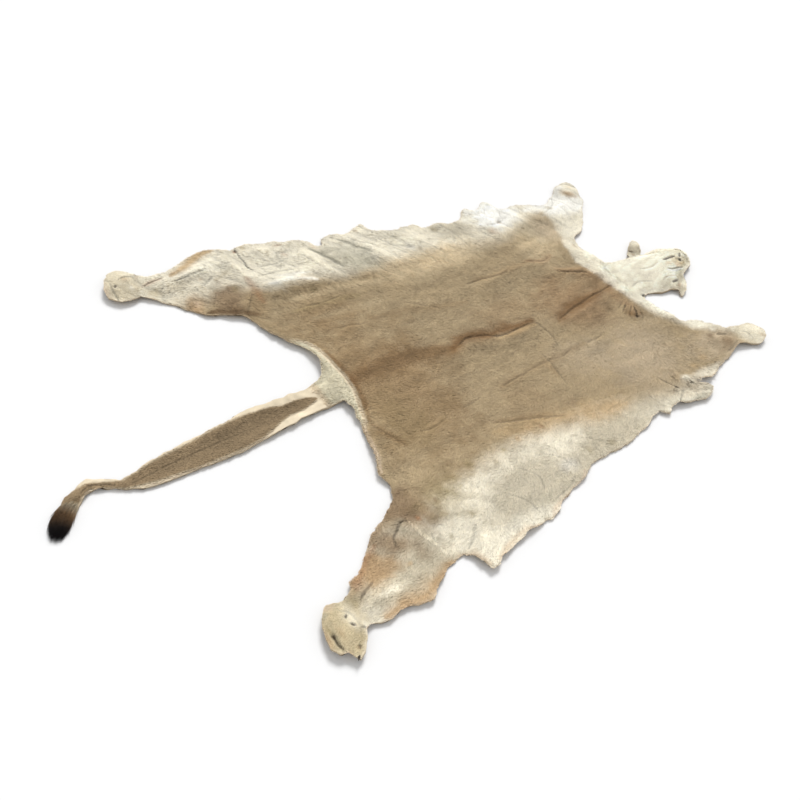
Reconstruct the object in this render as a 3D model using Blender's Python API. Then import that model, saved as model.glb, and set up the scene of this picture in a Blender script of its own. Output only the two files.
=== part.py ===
"""A lioness skin laid out on the floor, fur side up, with legs spread and tail straight out behind.

The drawing frame has its origin at the root of the tail, +Y along the spine towards the nose and
+X towards the animal's right. All sizes are in metres. The finished part is moved so that its own
origin is the middle of its box at floor level.
"""

import math
from collections import namedtuple

import bmesh
import bpy
import numpy as np
from mathutils import Matrix, Vector, noise
from mathutils.geometry import delaunay_2d_cdt

HIDE_THICKNESS = 0.004  # leather with its close underfur
STEEPEST = 0.65  # cosine of the slope past which the sheet no longer keeps its thickness

Band = namedtuple("Band", "y left right")
Crown = namedtuple("Crown", "y left right height")
Gutter = namedtuple("Gutter", "y left right lip open")
Edge = namedtuple("Edge", "x y")
Fold = namedtuple("Fold", "name height width path")
Mound = namedtuple("Mound", "name x y across along height")
Zone = namedtuple("Zone", "name left right rear front step")
Reach = namedtuple("Reach", "along half_width")
Tier = namedtuple("Tier", "along outer inner")
Stage = namedtuple("Stage", "share taper")


def rows(kind, *values):
    return [kind(*value) for value in values]


# The belly edges are torn, so the trunk's sections lie closer together there.
TRUNK = rows(
    Band,
    (0.05, -0.835, 0.725),
    (0.10, -0.820, 0.710),
    (0.14, -0.805, 0.700),
    (0.18, -0.805, 0.690),
    (0.22, -0.780, 0.690),
    (0.26, -0.760, 0.685),
    (0.29, -0.745, 0.675),
    (0.32, -0.695, 0.655),
    (0.34, -0.735, 0.650),
    (0.36, -0.745, 0.650),
    (0.40, -0.750, 0.635),
    (0.44, -0.725, 0.625),
    (0.47, -0.740, 0.605),
    (0.50, -0.750, 0.590),
    (0.525, -0.765, 0.590),
    (0.54, -0.715, 0.590),
    (0.58, -0.700, 0.590),
    (0.62, -0.665, 0.590),
    (0.66, -0.665, 0.585),
    (0.69, -0.670, 0.580),
    (0.715, -0.680, 0.575),
    (0.735, -0.640, 0.570),
    (0.78, -0.640, 0.555),
    (0.82, -0.630, 0.545),
    (0.85, -0.615, 0.535),
    (0.87, -0.620, 0.560),
    (0.89, -0.620, 0.550),
    (0.93, -0.640, 0.540),
    (0.95, -0.675, 0.555),
    (0.975, -0.690, 0.560),
    (0.995, -0.640, 0.560),
    (1.03, -0.660, 0.565),
    (1.07, -0.680, 0.560),
    (1.095, -0.615, 0.550),
    (1.12, -0.600, 0.510),
    (1.17, -0.610, 0.490),
    (1.24, -0.590, 0.470),
)
RIGHT_FORELEG = rows(
    Band,
    (1.26, 0.250, 0.470),
    (1.30, 0.260, 0.450),
    (1.33, 0.290, 0.440),
    (1.345, 0.325, 0.440),
    (1.37, 0.360, 0.445),
    (1.40, 0.370, 0.465),
    (1.44, 0.380, 0.470),
    (1.47, 0.370, 0.455),
    (1.485, 0.400, 0.430),
)
LEFT_FORELEG = rows(
    Band,
    (1.29, -0.560, -0.340),
    (1.34, -0.580, -0.375),
    (1.38, -0.605, -0.420),
    (1.42, -0.630, -0.465),
    (1.46, -0.650, -0.505),
    (1.49, -0.655, -0.570),
    (1.51, -0.645, -0.615),
)
RIGHT_HIND_LEG = rows(
    Band,
    (-0.10, 0.425, 0.680),
    (-0.16, 0.470, 0.720),
    (-0.175, 0.475, 0.735),
    (-0.22, 0.505, 0.730),
    (-0.265, 0.550, 0.715),
    (-0.30, 0.580, 0.725),
    (-0.33, 0.595, 0.725),
    (-0.355, 0.620, 0.715),
    (-0.385, 0.635, 0.745),
    (-0.41, 0.625, 0.775),
    (-0.425, 0.625, 0.785),
    (-0.44, 0.635, 0.755),
    (-0.46, 0.660, 0.750),
    (-0.47, 0.700, 0.730),
)
LEFT_HIND_LEG = rows(
    Band,
    (-0.10, -0.865, -0.450),
    (-0.16, -0.840, -0.500),
    (-0.22, -0.800, -0.535),
    (-0.27, -0.775, -0.605),
    (-0.31, -0.780, -0.655),
    (-0.345, -0.820, -0.690),
    (-0.37, -0.855, -0.710),
    (-0.41, -0.875, -0.700),
    (-0.44, -0.840, -0.705),
    (-0.465, -0.780, -0.745),
)
HEAD = rows(
    Crown,
    (1.24, -0.330, 0.240, 0.000),
    (1.27, -0.125, 0.070, 0.016),
    (1.32, -0.115, 0.090, 0.028),
    (1.36, -0.115, 0.100, 0.038),
    (1.42, -0.105, 0.080, 0.044),
    (1.47, -0.105, 0.055, 0.040),
    (1.51, -0.100, 0.035, 0.034),
    (1.545, -0.095, 0.025, 0.030),
    (1.572, -0.085, -0.005, 0.018),
    (1.590, -0.070, -0.040, 0.008),
)
# The tail's slit skin is rolled shut at the root, opens to a gutter and is rolled again by the tuft.
TAIL = rows(
    Gutter,
    (-0.02, -0.100, 0.030, 0.016, 0.0),
    (-0.06, -0.075, 0.030, 0.022, 0.0),
    (-0.10, -0.065, 0.030, 0.022, 0.4),
    (-0.15, -0.065, 0.035, 0.020, 1.0),
    (-0.22, -0.065, 0.045, 0.018, 1.0),
    (-0.30, -0.070, 0.055, 0.014, 1.0),
    (-0.38, -0.055, 0.065, 0.010, 1.0),
    (-0.50, -0.040, 0.065, 0.008, 1.0),
    (-0.60, -0.025, 0.065, 0.008, 1.0),
    (-0.66, -0.005, 0.060, 0.010, 0.8),
    (-0.71, 0.005, 0.035, 0.012, 0.3),
    (-0.75, -0.020, 0.010, 0.017, 0.0),
    (-0.79, -0.040, 0.000, 0.018, 0.0),
    (-0.83, -0.015, 0.025, 0.015, 0.0),
)
TAIL_BEHIND_END = Gutter(-0.87, 0.005, 0.050, 0.012, 0.0)
RIGHT_NECK_EDGE = rows(Edge, (0.075, 1.240), (0.100, 1.225), (0.150, 1.225), (0.200, 1.245))
LEFT_NECK_EDGE = rows(Edge, (-0.330, 1.250), (-0.250, 1.225), (-0.180, 1.230), (-0.140, 1.240))
RIGHT_RUMP_EDGE = rows(
    Edge,
    (0.380, -0.070),
    (0.330, -0.080),
    (0.280, -0.060),
    (0.200, -0.040),
    (0.110, -0.020),
    (0.065, -0.010),
)
LEFT_RUMP_EDGE = rows(
    Edge,
    (-0.150, 0.000),
    (-0.205, 0.000),
    (-0.240, -0.010),
    (-0.270, -0.030),
    (-0.305, -0.050),
    (-0.380, -0.080),
)
RIGHT_EAR = rows(Edge, (0.065, 1.460), (0.105, 1.445), (0.130, 1.405), (0.145, 1.375), (0.115, 1.390))
LEFT_EAR = rows(
    Edge, (-0.140, 1.370), (-0.180, 1.420), (-0.205, 1.460), (-0.165, 1.450), (-0.120, 1.415)
)
RIGHT_GROIN = rows(
    Edge, (0.740, 0.010), (0.705, 0.000), (0.680, -0.010), (0.660, -0.030), (0.665, -0.060)
)
LEFT_GROIN = rows(Edge, (-0.865, -0.065), (-0.850, -0.030), (-0.820, 0.005))
RIGHT_ARMPIT = rows(
    Edge, (0.505, 1.110), (0.495, 1.075), (0.490, 1.045), (0.505, 1.050), (0.520, 1.075), (0.545, 1.090)
)
TAIL_END = Edge(0.025, -0.855)
TUFT_TIP = Edge(0.125, -0.930)
TAIL_END_WIDTH = 0.036

# A fold falls to the floor at twice its width from its path, sooner on its steep side.
FOLDS = rows(
    Fold,
    ("spine pleat, rear", 0.012, 0.020, ((0.02, 0.37), (0.00, 0.49), (0.02, 0.60), (0.03, 0.73))),
    ("spine pleat, front", 0.014, 0.022, ((0.05, 0.85), (0.045, 0.965), (0.02, 1.065), (0.01, 1.155))),
    ("neck pleat", 0.016, 0.024, ((-0.22, 1.00), (-0.175, 1.06), (-0.145, 1.11), (-0.075, 1.17))),
    ("neck roll", 0.022, 0.036, ((-0.34, 1.175), (-0.14, 1.200), (0.02, 1.185), (0.17, 1.180))),
    ("long fold, left", 0.008, 0.020, ((-0.28, 0.54), (-0.25, 0.72), (-0.27, 0.88), (-0.25, 1.07))),
    ("long fold, right", 0.007, 0.018, ((0.24, 0.29), (0.21, 0.43), (0.20, 0.62), (0.18, 1.08))),
    ("cross fold", 0.006, 0.018, ((0.05, 0.79), (0.14, 0.74), (0.20, 0.67), (0.41, 0.62))),
    ("shoulder pucker, inner", 0.012, 0.011, ((0.080, 1.145), (0.105, 1.105), (0.120, 1.080))),
    ("shoulder pucker, middle", 0.014, 0.011, ((0.110, 1.155), (0.135, 1.115), (0.150, 1.090))),
    ("shoulder pucker, outer", 0.012, 0.012, ((0.145, 1.145), (0.170, 1.105))),
    ("rump lip", 0.022, 0.016, ((-0.25, -0.02), (-0.19, 0.01), (-0.10, 0.02), (0.04, 0.01), (0.12, -0.01))),
    ("rump edge, right", 0.012, 0.016, ((0.12, -0.01), (0.21, -0.02), (0.31, -0.065), (0.39, -0.05))),
    ("rump edge, left", 0.010, 0.016, ((-0.25, -0.02), (-0.35, -0.055), (-0.44, -0.085))),
    ("flank ridge, left", 0.020, 0.030, ((-0.58, -0.02), (-0.57, 0.07), (-0.55, 0.15), (-0.45, 0.26))),
    ("flank fan, lower", 0.018, 0.028, ((-0.75, 0.225), (-0.65, 0.245), (-0.55, 0.275), (-0.46, 0.315))),
    ("flank fan, middle", 0.016, 0.026, ((-0.74, 0.35), (-0.64, 0.36), (-0.55, 0.38), (-0.45, 0.41))),
    ("flank fan, upper", 0.014, 0.026, ((-0.735, 0.45), (-0.645, 0.47), (-0.555, 0.50), (-0.465, 0.55))),
    ("flank fan, end", 0.012, 0.028, ((-0.655, 0.65), (-0.565, 0.67), (-0.485, 0.71))),
    ("flank fold by spine", 0.006, 0.018, ((-0.42, 0.05), (-0.41, 0.16), (-0.42, 0.25))),
    ("loin fold, left", 0.006, 0.018, ((-0.27, 0.10), (-0.26, 0.19), (-0.25, 0.27))),
    ("back fold, left", 0.006, 0.020, ((-0.29, 0.41), (-0.22, 0.53))),
    ("hip crack, left", 0.016, 0.018, ((-0.82, -0.025), (-0.73, -0.02), (-0.665, -0.01), (-0.63, 0.03))),
    ("hip flap, left", 0.014, 0.030, ((-0.79, 0.055), (-0.745, 0.14))),
    ("thigh crack, left", 0.010, 0.014, ((-0.56, -0.04), (-0.50, -0.09), (-0.485, -0.12))),
    ("shin ridge, left", 0.024, 0.026, ((-0.77, -0.08), (-0.745, -0.18), (-0.73, -0.25), (-0.755, -0.33))),
    ("shin ridge, left, inner", 0.012, 0.018, ((-0.67, -0.13), (-0.685, -0.23), (-0.715, -0.32))),
    ("thigh fold, right", 0.012, 0.018, ((0.395, -0.035), (0.47, -0.045), (0.55, -0.035))),
    ("thigh pleat, right", 0.014, 0.014, ((0.50, -0.15), (0.49, -0.11), (0.52, -0.088), (0.605, -0.076))),
    ("thigh crease, right", 0.010, 0.014, ((0.54, -0.125), (0.59, -0.155), (0.63, -0.195))),
    ("shin ridge, right", 0.016, 0.026, ((0.655, -0.20), (0.668, -0.285), (0.682, -0.355))),
    ("hip fold, right", 0.006, 0.018, ((0.25, 0.10), (0.27, 0.16), (0.25, 0.23))),
    ("belly fold, right", 0.008, 0.022, ((0.33, 0.34), (0.36, 0.42), (0.41, 0.53), (0.46, 0.67))),
    ("groin fold, right", 0.016, 0.024, ((0.56, 0.11), (0.63, 0.06), (0.70, 0.03))),
    ("groin fold, right, upper", 0.012, 0.026, ((0.53, 0.23), (0.60, 0.20), (0.68, 0.165))),
    ("armpit flap, right", 0.014, 0.018, ((0.46, 0.89), (0.505, 0.94), (0.53, 1.00), (0.555, 1.05))),
    ("foreleg edge, right", 0.012, 0.016, ((0.44, 0.98), (0.465, 1.03), (0.485, 1.09), (0.49, 1.15))),
    ("foreleg fold, right", 0.014, 0.018, ((0.35, 1.22), (0.38, 1.30), (0.415, 1.365))),
    ("foreleg fold, left", 0.018, 0.028, ((-0.46, 1.20), (-0.50, 1.30), (-0.55, 1.40))),
    ("shoulder fold, left", 0.014, 0.024, ((-0.62, 1.02), (-0.535, 1.01), (-0.455, 1.055))),
    ("shoulder fold, left, upper", 0.012, 0.024, ((-0.58, 1.12), (-0.50, 1.135), (-0.42, 1.175))),
)
MOUNDS = rows(
    Mound,
    ("right hind paw", 0.700, -0.420, 0.092, 0.072, 0.030),
    ("right hind toe, first", 0.640, -0.438, 0.026, 0.024, 0.024),
    ("right hind toe, second", 0.680, -0.452, 0.026, 0.024, 0.026),
    ("right hind toe, third", 0.736, -0.452, 0.026, 0.020, 0.024),
    ("right hind toe, fourth", 0.764, -0.420, 0.028, 0.022, 0.022),
    ("left hind paw", -0.788, -0.412, 0.098, 0.078, 0.032),
    ("right forepaw", 0.424, 1.440, 0.062, 0.068, 0.024),
    ("left forepaw", -0.600, 1.450, 0.072, 0.068, 0.020),
    ("left ear", -0.165, 1.435, 0.034, 0.040, 0.022),
    ("right ear", 0.120, 1.400, 0.032, 0.046, 0.012),
)

EDGE_STEP = 0.025  # spacing of the points along the outline
FINE_STEP = 0.020  # grid spacing on the tail
LIMB_STEP = 0.031  # and on head and legs
BODY_STEP = 0.045  # and on the body
FOLD_STEP = 0.030  # spacing of the points along a fold
# Where two zones meet, the later row holds.
ZONES = rows(
    Zone,
    ("forelegs", -1.00, 1.00, 1.20, 1.60, LIMB_STEP),
    ("hind legs", -1.00, 1.00, -0.50, -0.06, LIMB_STEP),
    ("tail", -0.16, 0.12, -0.90, 0.03, FINE_STEP),
    ("head", -0.25, 0.20, 1.27, 1.60, FINE_STEP),
    ("forepaws", -1.00, 1.00, 1.36, 1.60, FINE_STEP),
    ("hind paws", -1.00, 1.00, -0.50, -0.34, FINE_STEP),
)
FOLD_CLEARANCE = 0.55  # least distance between points by a fold, against its width
GRID_CLEARANCE = 0.62  # and on the grids, against their spacing
TINY = 1e-6

TEAR_SIZE = 0.005  # how far the torn edge strays from its line
TEAR_PITCH = 0.045
NEAT_BEHIND = -0.12  # the edge is neater from here to the tail's end
NEAT_RUN = 0.10
NEAT_SHARE = 0.15
RAGGED_OUTSIDE = 0.40  # and more ragged farther than this from the spine
RAGGED_SHARE = 0.5
STEEP_SIDE = 0.75
GENTLE_SIDE = 1.25
FOLD_END = 0.02  # share of its length in which a fold runs out at its ends
HEAD_ROUNDNESS = 2.4
TAIL_ROUNDNESS = 2.2
TAIL_SIDES = (-0.20, 0.14)
TAIL_RISE = (-0.015, 0.02)  # distance behind the tail's root where its shape starts and where it is full
LIP_FOOT = 0.30  # shares of the tail's half width
LIP_CREST = 0.80
LIP_FALL = 0.35  # how far the lip drops again at its outer edge
SWELL = 0.010  # height of the slow waves of the sheet on the flanks
SWELL_PITCH = 0.30
RIPPLE_PITCH = 0.11
RIPPLE_SHARE = 0.5  # of the short waves in the long ones
FLOOR_SHARE = 0.12  # waves lower than this share stay flat on the floor
QUIET_BACK = 0.35  # height of the waves on the back, against those on the flanks
BACK_MIDDLE = Edge(0.00, 0.62)
BACK_WIDTH = (0.30, 0.60)  # from the middle: where the back ends and where the flank is in full
BACK_LENGTH = (0.60, 0.80)
CURL_SIZE = 0.012  # how far the dried edge curls up, and over what width
CURL_WIDTH = 0.055
CURL_SHARE = 0.35  # of the full curl on the whole edge, and how much it changes along it
CURL_CHANGE = 1.6
TEAR_SEED = 3.7
SWELL_SEED = 1.3
RIPPLE_SEED = 8.1
CURL_SEED = 5.9

PIECE_GAP = 0.0003  # between the tail's cut end and the tuft
# The brush's half width along its length, from the tail's end to its tip.
TUFT_OUTLINE = rows(
    Reach,
    (0.000, 0.016),
    (0.025, 0.022),
    (0.060, 0.032),
    (0.090, 0.037),
    (0.120, 0.035),
    (0.145, 0.020),
)
# The core steps inwards at each tier, in shares of the half width, and a ring of locks leaves each step.
TUFT_TIERS = rows(
    Tier,
    (0.022, 1.00, 0.74),
    (0.036, 0.74, 0.48),
    (0.050, 0.48, 0.22),
    (0.062, 0.22, 0.00),
)
LOOKS_FORWARD = 0.9  # cosine of the steps' faces to the brush's direction
LOCK_STAGES = rows(Stage, (0.60, 0.90), (0.40, 0.20))
LOCK_LENGTH = 0.064
LOCK_UNEVENNESS = 0.45
LOCKS_ACROSS = 4.5  # about how often the locks' length changes over half the brush's width
TUFT_SIDES = 18
TUFT_RISE = 0.56  # height above the brush's middle line, against its half width
TUFT_DEPTH = 0.28  # and below it

HIDE_COLOUR = (0.47, 0.37, 0.26, 1.0)
TUFT_COLOUR = (0.030, 0.022, 0.018, 1.0)


def clear_scene():
    for thing in list(bpy.data.objects):
        bpy.data.objects.remove(thing, do_unlink=True)


def collection_named(name):
    group = bpy.data.collections.new(name)
    bpy.context.scene.collection.children.link(group)
    return group


def material_named(name, colour, roughness):
    material = bpy.data.materials.new(name)
    material.use_nodes = True
    shader = material.node_tree.nodes["Principled BSDF"]
    shader.inputs["Base Color"].default_value = colour
    shader.inputs["Roughness"].default_value = roughness
    shader.inputs["Metallic"].default_value = 0.0
    return material


def left_edge(sections):
    return [(row.left, row.y) for row in sections]


def right_edge(sections):
    return [(row.right, row.y) for row in sections]


def tail_end_corners():
    """The right and the left corner of the tail's cut end, square to the tuft."""
    along = np.subtract(TUFT_TIP, TAIL_END)
    along /= np.linalg.norm(along)
    across = np.array([-along[1], along[0]]) * TAIL_END_WIDTH / 2
    return [tuple(np.add(TAIL_END, across)), tuple(np.subtract(TAIL_END, across))]


def outline_corners():
    """The edge of the skin from the nose down its right side, round the tail and up its left side."""
    crown = HEAD[1:]
    behind_ear = [row for row in crown if row.y < RIGHT_EAR[-1].y]
    before_ear = [row for row in crown if row.y > RIGHT_EAR[0].y]
    below_ear = [row for row in crown if row.y < LEFT_EAR[0].y]
    above_ear = [row for row in crown if row.y > LEFT_EAR[-1].y]
    before_armpit = [row for row in TRUNK if row.y > RIGHT_ARMPIT[0].y]
    behind_armpit = [row for row in TRUNK if row.y < RIGHT_ARMPIT[-1].y]
    right = right_edge(before_ear[::-1]) + RIGHT_EAR + right_edge(behind_ear[::-1]) + RIGHT_NECK_EDGE
    right += left_edge(RIGHT_FORELEG) + right_edge(RIGHT_FORELEG[::-1])
    right += right_edge(before_armpit[::-1]) + RIGHT_ARMPIT + right_edge(behind_armpit[::-1])
    right += RIGHT_GROIN + right_edge(RIGHT_HIND_LEG) + left_edge(RIGHT_HIND_LEG[::-1]) + RIGHT_RUMP_EDGE
    tail = right_edge(TAIL) + tail_end_corners() + left_edge(TAIL[::-1])
    left = LEFT_RUMP_EDGE + right_edge(LEFT_HIND_LEG) + left_edge(LEFT_HIND_LEG[::-1]) + LEFT_GROIN
    left += left_edge(TRUNK) + left_edge(LEFT_FORELEG) + right_edge(LEFT_FORELEG[::-1])
    left += LEFT_NECK_EDGE + left_edge(below_ear) + LEFT_EAR + left_edge(above_ear)
    return np.array([tuple(corner) for corner in right + tail + left])


def smooth_through(corners, step, closed):
    """Points about step apart on a curve that passes through all the corners."""
    count = len(corners)
    last = count if closed else count - 1
    found = []
    for i in range(last):
        if closed:
            before, start, end, after = (corners[(i + k) % count] for k in (-1, 0, 1, 2))
        else:
            before, start = corners[max(i - 1, 0)], corners[i]
            end, after = corners[i + 1], corners[min(i + 2, count - 1)]
        length = np.linalg.norm(end - start)
        leave = (end - before) / np.linalg.norm(end - before) * length
        arrive = (after - start) / np.linalg.norm(after - start) * length
        pieces = max(1, round(length / step))
        for t in np.arange(pieces) / pieces:
            found.append(
                (2 * t**3 - 3 * t**2 + 1) * start
                + (t**3 - 2 * t**2 + t) * leave
                + (3 * t**2 - 2 * t**3) * end
                + (t**3 - t**2) * arrive
            )
    if not closed:
        found.append(corners[-1])
    return np.array(found)


def noise_at(points, pitch, seed):
    """Smooth noise from -1 to 1 for each point, one swing about every pitch."""
    return np.array([noise.noise(Vector((x / pitch, y / pitch, seed))) for x, y in points[:, :2]])


def torn(edge):
    """The outline with the small nicks of a hand-cut, dried edge. The clean cut by the tuft stays."""
    ahead = np.roll(edge, -1, axis=0) - np.roll(edge, 1, axis=0)
    ahead /= np.linalg.norm(ahead, axis=1)[:, None]
    outward = np.stack([-ahead[:, 1], ahead[:, 0]], axis=1)
    depth = TEAR_SIZE * noise_at(edge, TEAR_PITCH, TEAR_SEED)
    ragged = RAGGED_SHARE * (np.abs(edge[:, 0]) > RAGGED_OUTSIDE)
    depth *= np.clip((edge[:, 1] - NEAT_BEHIND) / NEAT_RUN, NEAT_SHARE, 1.0) + ragged
    depth[np.linalg.norm(edge - TAIL_END, axis=1) < TAIL_END_WIDTH] = 0.0
    return edge + outward * depth[:, None]


def nearest_on(points, path, closed=False):
    """For each point its distance to the path, its side of it and how far along the nearest place is."""
    starts, ends = np.array(path, float), np.roll(np.array(path, float), -1, axis=0)
    if not closed:
        starts, ends = starts[:-1], ends[:-1]
    runs = ends - starts
    lengths = np.linalg.norm(runs, axis=1)
    passed = np.concatenate([[0.0], np.cumsum(lengths)[:-1]])
    away = points[:, None, :2] - starts[None]
    share = np.clip((away * runs).sum(2) / lengths**2, 0, 1)
    off = away - share[..., None] * runs
    distance = np.linalg.norm(off, axis=2)
    best = distance.argmin(1)
    row = np.arange(len(points))
    side = runs[best, 0] * away[row, best, 1] - runs[best, 1] * away[row, best, 0]
    along = (passed[best] + share[row, best] * lengths[best]) / lengths.sum()
    return distance[row, best], np.sign(side), along


def inside(points, edge):
    """True for each point that the closed outline holds."""
    x, y = points[:, 0], points[:, 1]
    held = np.zeros(len(points), bool)
    for (x0, y0), (x1, y1) in zip(edge, np.roll(edge, -1, axis=0)):
        if y0 != y1:
            held ^= ((y0 > y) != (y1 > y)) & (x < (x1 - x0) * (y - y0) / (y1 - y0) + x0)
    return held


def step_wanted(points):
    """The grid spacing each place needs: closest on tail, head and paws, then legs, then the body."""
    x, y = points[:, 0], points[:, 1]
    step = np.full(len(points), BODY_STEP)
    for zone in ZONES:
        step[(x > zone.left) & (x < zone.right) & (y > zone.rear) & (y < zone.front)] = zone.step
    return step


def spread(edge):
    """Inner points of the sheet: rows along each fold first, then staggered grids between them."""
    placed = [edge]
    for fold in FOLDS:
        middle = smooth_through(np.array(fold.path), FOLD_STEP, closed=False)
        ahead = np.gradient(middle, axis=0)
        ahead /= np.linalg.norm(ahead, axis=1)[:, None]
        across = np.stack([-ahead[:, 1], ahead[:, 0]], axis=1)
        for side in (0.0, fold.width, -fold.width):
            placed.append(clear_of(placed, middle + across * side, FOLD_CLEARANCE * fold.width, edge))
    for step in (FINE_STEP, LIMB_STEP, BODY_STEP):
        low, high = edge.min(0), edge.max(0)
        columns = np.arange(low[0], high[0], step)
        lines = np.arange(low[1], high[1], step * math.sqrt(3) / 2)
        x, y = np.meshgrid(columns, lines)
        x[1::2] += step / 2
        grid = np.stack([x.ravel(), y.ravel()], axis=1)
        grid = grid[step_wanted(grid) == step]
        placed.append(clear_of(placed, grid, GRID_CLEARANCE * step, edge))
    return np.concatenate(placed[1:])


def clear_of(placed, wanted, gap, edge):
    """Those of the wanted points that lie on the skin and keep the gap to all that are placed."""
    wanted = wanted[inside(wanted, edge)]
    if not len(wanted):
        return wanted
    wanted = wanted[nearest_on(wanted, edge, closed=True)[0] > gap]
    kept = np.concatenate(placed)
    found = []
    for point in wanted:
        if np.hypot(*(kept - point).T).min() > gap:
            kept = np.concatenate([kept, point[None]])
            found.append(point)
    return np.array(found).reshape(-1, 2)


def between(rows_by_y, y, column):
    """A table's column read at each y, straight between its rows."""
    table = sorted(rows_by_y, key=lambda row: row.y)
    return np.interp(y, [row.y for row in table], [getattr(row, column) for row in table])


def soft_step(value, low, high):
    t = np.clip((value - low) / (high - low), 0, 1)
    return t * t * (3 - 2 * t)


def fold_heights(points):
    """All folds together, each a smooth ridge or furrow that runs out at both ends."""
    total = np.zeros(len(points))
    for fold in FOLDS:
        path = smooth_through(np.array(fold.path), FOLD_STEP, closed=False)
        distance, side, along = nearest_on(points, path)
        reach = 2 * fold.width * np.where(side > 0, STEEP_SIDE, GENTLE_SIDE)
        fade = np.sqrt(np.sin(math.pi * np.clip(along, FOLD_END, 1 - FOLD_END)))
        total += fold.height * fade * np.clip(1 - (distance / reach) ** 2, 0, 1) ** 2
    return total


def mound_heights(points):
    total = np.zeros(len(points))
    for mound in MOUNDS:
        reach = np.hypot((points[:, 0] - mound.x) / mound.across, (points[:, 1] - mound.y) / mound.along)
        total = np.maximum(total, mound.height * np.clip(1 - reach**2, 0, 1))
    return total


def head_heights(points):
    """The empty head, highest between the ears and falling to the floor at both cheeks."""
    y = points[:, 1]
    left, right = between(HEAD, y, "left"), between(HEAD, y, "right")
    across = (points[:, 0] - (left + right) / 2) / (right - left) * 2
    height = between(HEAD, y, "height") * (y > HEAD[0].y)
    return height * np.sqrt(1 - np.clip(np.abs(across), 0, 1) ** HEAD_ROUNDNESS)


def beside_tail_root(x):
    return (x > TAIL_SIDES[0]) & (x < TAIL_SIDES[1])


def tail_heights(points):
    """The tail, a flattened roll where it is closed and a gutter with raised lips where it is open."""
    x, y = points[:, 0], points[:, 1]
    sections = TAIL + [TAIL_BEHIND_END]
    left, right = between(sections, y, "left"), between(sections, y, "right")
    across = np.abs((x - (left + right) / 2) / (right - left) * 2)
    rolled = np.sqrt(1 - np.clip(across, 0, 1) ** TAIL_ROUNDNESS)
    lipped = soft_step(across, LIP_FOOT, LIP_CREST) * (1 - LIP_FALL * soft_step(across, LIP_CREST, 1.0))
    opened = between(sections, y, "open")
    shape = between(sections, y, "lip") * (rolled * (1 - opened) + lipped * opened)
    return shape * soft_step(-y, *TAIL_RISE) * beside_tail_root(x)


def underside(points, edge):
    """Height of the sheet's underside over the floor, nought wherever it lies flat."""
    x, y = points[:, 0], points[:, 1]
    flank = soft_step(np.abs(x - BACK_MIDDLE.x), *BACK_WIDTH)
    flank += soft_step(np.abs(y - BACK_MIDDLE.y), *BACK_LENGTH)
    off_tail = ~(beside_tail_root(x) & (y < -TAIL_RISE[1]))
    waves = noise_at(points, SWELL_PITCH, SWELL_SEED)
    waves += RIPPLE_SHARE * noise_at(points, RIPPLE_PITCH, RIPPLE_SEED)
    swell = SWELL * (QUIET_BACK + np.clip(flank, 0, 1)) * np.clip(waves - FLOOR_SHARE, 0, 1)
    from_edge = nearest_on(points, edge, closed=True)[0]
    curl = CURL_SIZE * np.clip(1 - from_edge / CURL_WIDTH, 0, 1) ** 2
    curl *= np.clip(CURL_SHARE + CURL_CHANGE * noise_at(points, RIPPLE_PITCH, CURL_SEED), 0, 1)
    rest = fold_heights(points) + (swell + curl) * off_tail
    return np.maximum(rest, mound_heights(points)) + head_heights(points) + tail_heights(points)


def thicken(mesh):
    """Gives the sheet its top, straight above the underside, so that the cut edge stands upright."""
    shape = bmesh.new()
    shape.from_mesh(mesh)
    shape.normal_update()
    slopes = {tuple(vertex.co): abs(vertex.normal.z) for vertex in shape.verts}
    grown = bmesh.ops.extrude_face_region(shape, geom=shape.faces[:], use_keep_orig=True)
    for vertex in (item for item in grown["geom"] if isinstance(item, bmesh.types.BMVert)):
        vertex.co.z += HIDE_THICKNESS / max(slopes[tuple(vertex.co)], STEEPEST)
    bmesh.ops.recalc_face_normals(shape, faces=shape.faces)
    shape.to_mesh(mesh)
    shape.free()


def make_pelt(group):
    """The whole skin in one piece: a triangulated sheet, raised by its folds, with a thickness."""
    edge = torn(smooth_through(outline_corners(), EDGE_STEP, closed=True))
    points = np.concatenate([edge, spread(edge)])
    ring = list(range(len(edge)))
    corners, _, faces, *_ = delaunay_2d_cdt([Vector(p) for p in points], [], [ring], 1, TINY)
    flat = np.array([(corner.x, corner.y) for corner in corners])
    heights = underside(flat, edge)
    mesh = bpy.data.meshes.new("pelt")
    mesh.from_pydata([(x, y, z) for (x, y), z in zip(flat, heights)], [], faces)
    thicken(mesh)
    mesh.materials.append(material_named("tawny fur", HIDE_COLOUR, 0.9))
    mesh.shade_smooth()
    pelt = bpy.data.objects.new("pelt", mesh)
    group.objects.link(pelt)
    return pelt


def tuft_core(shape):
    """The brush's core, turned about +X from a stepped profile in shares of the brush's half width."""
    profile = [(0.0, 0.0), (0.0, 1.0)]
    for tier in TUFT_TIERS:
        profile += [(tier.along, tier.outer), (tier.along, tier.inner)]
    corners = [shape.verts.new((along, 0.0, share)) for along, share in profile]
    edges = [shape.edges.new(pair) for pair in zip(corners, corners[1:])]
    turn = {"cent": (0, 0, 0), "axis": (1, 0, 0), "angle": math.tau, "steps": TUFT_SIDES}
    bmesh.ops.spin(shape, geom=corners + edges, use_merge=True, **turn)
    bmesh.ops.remove_doubles(shape, verts=shape.verts, dist=TINY)
    bmesh.ops.recalc_face_normals(shape, faces=shape.faces)


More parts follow.
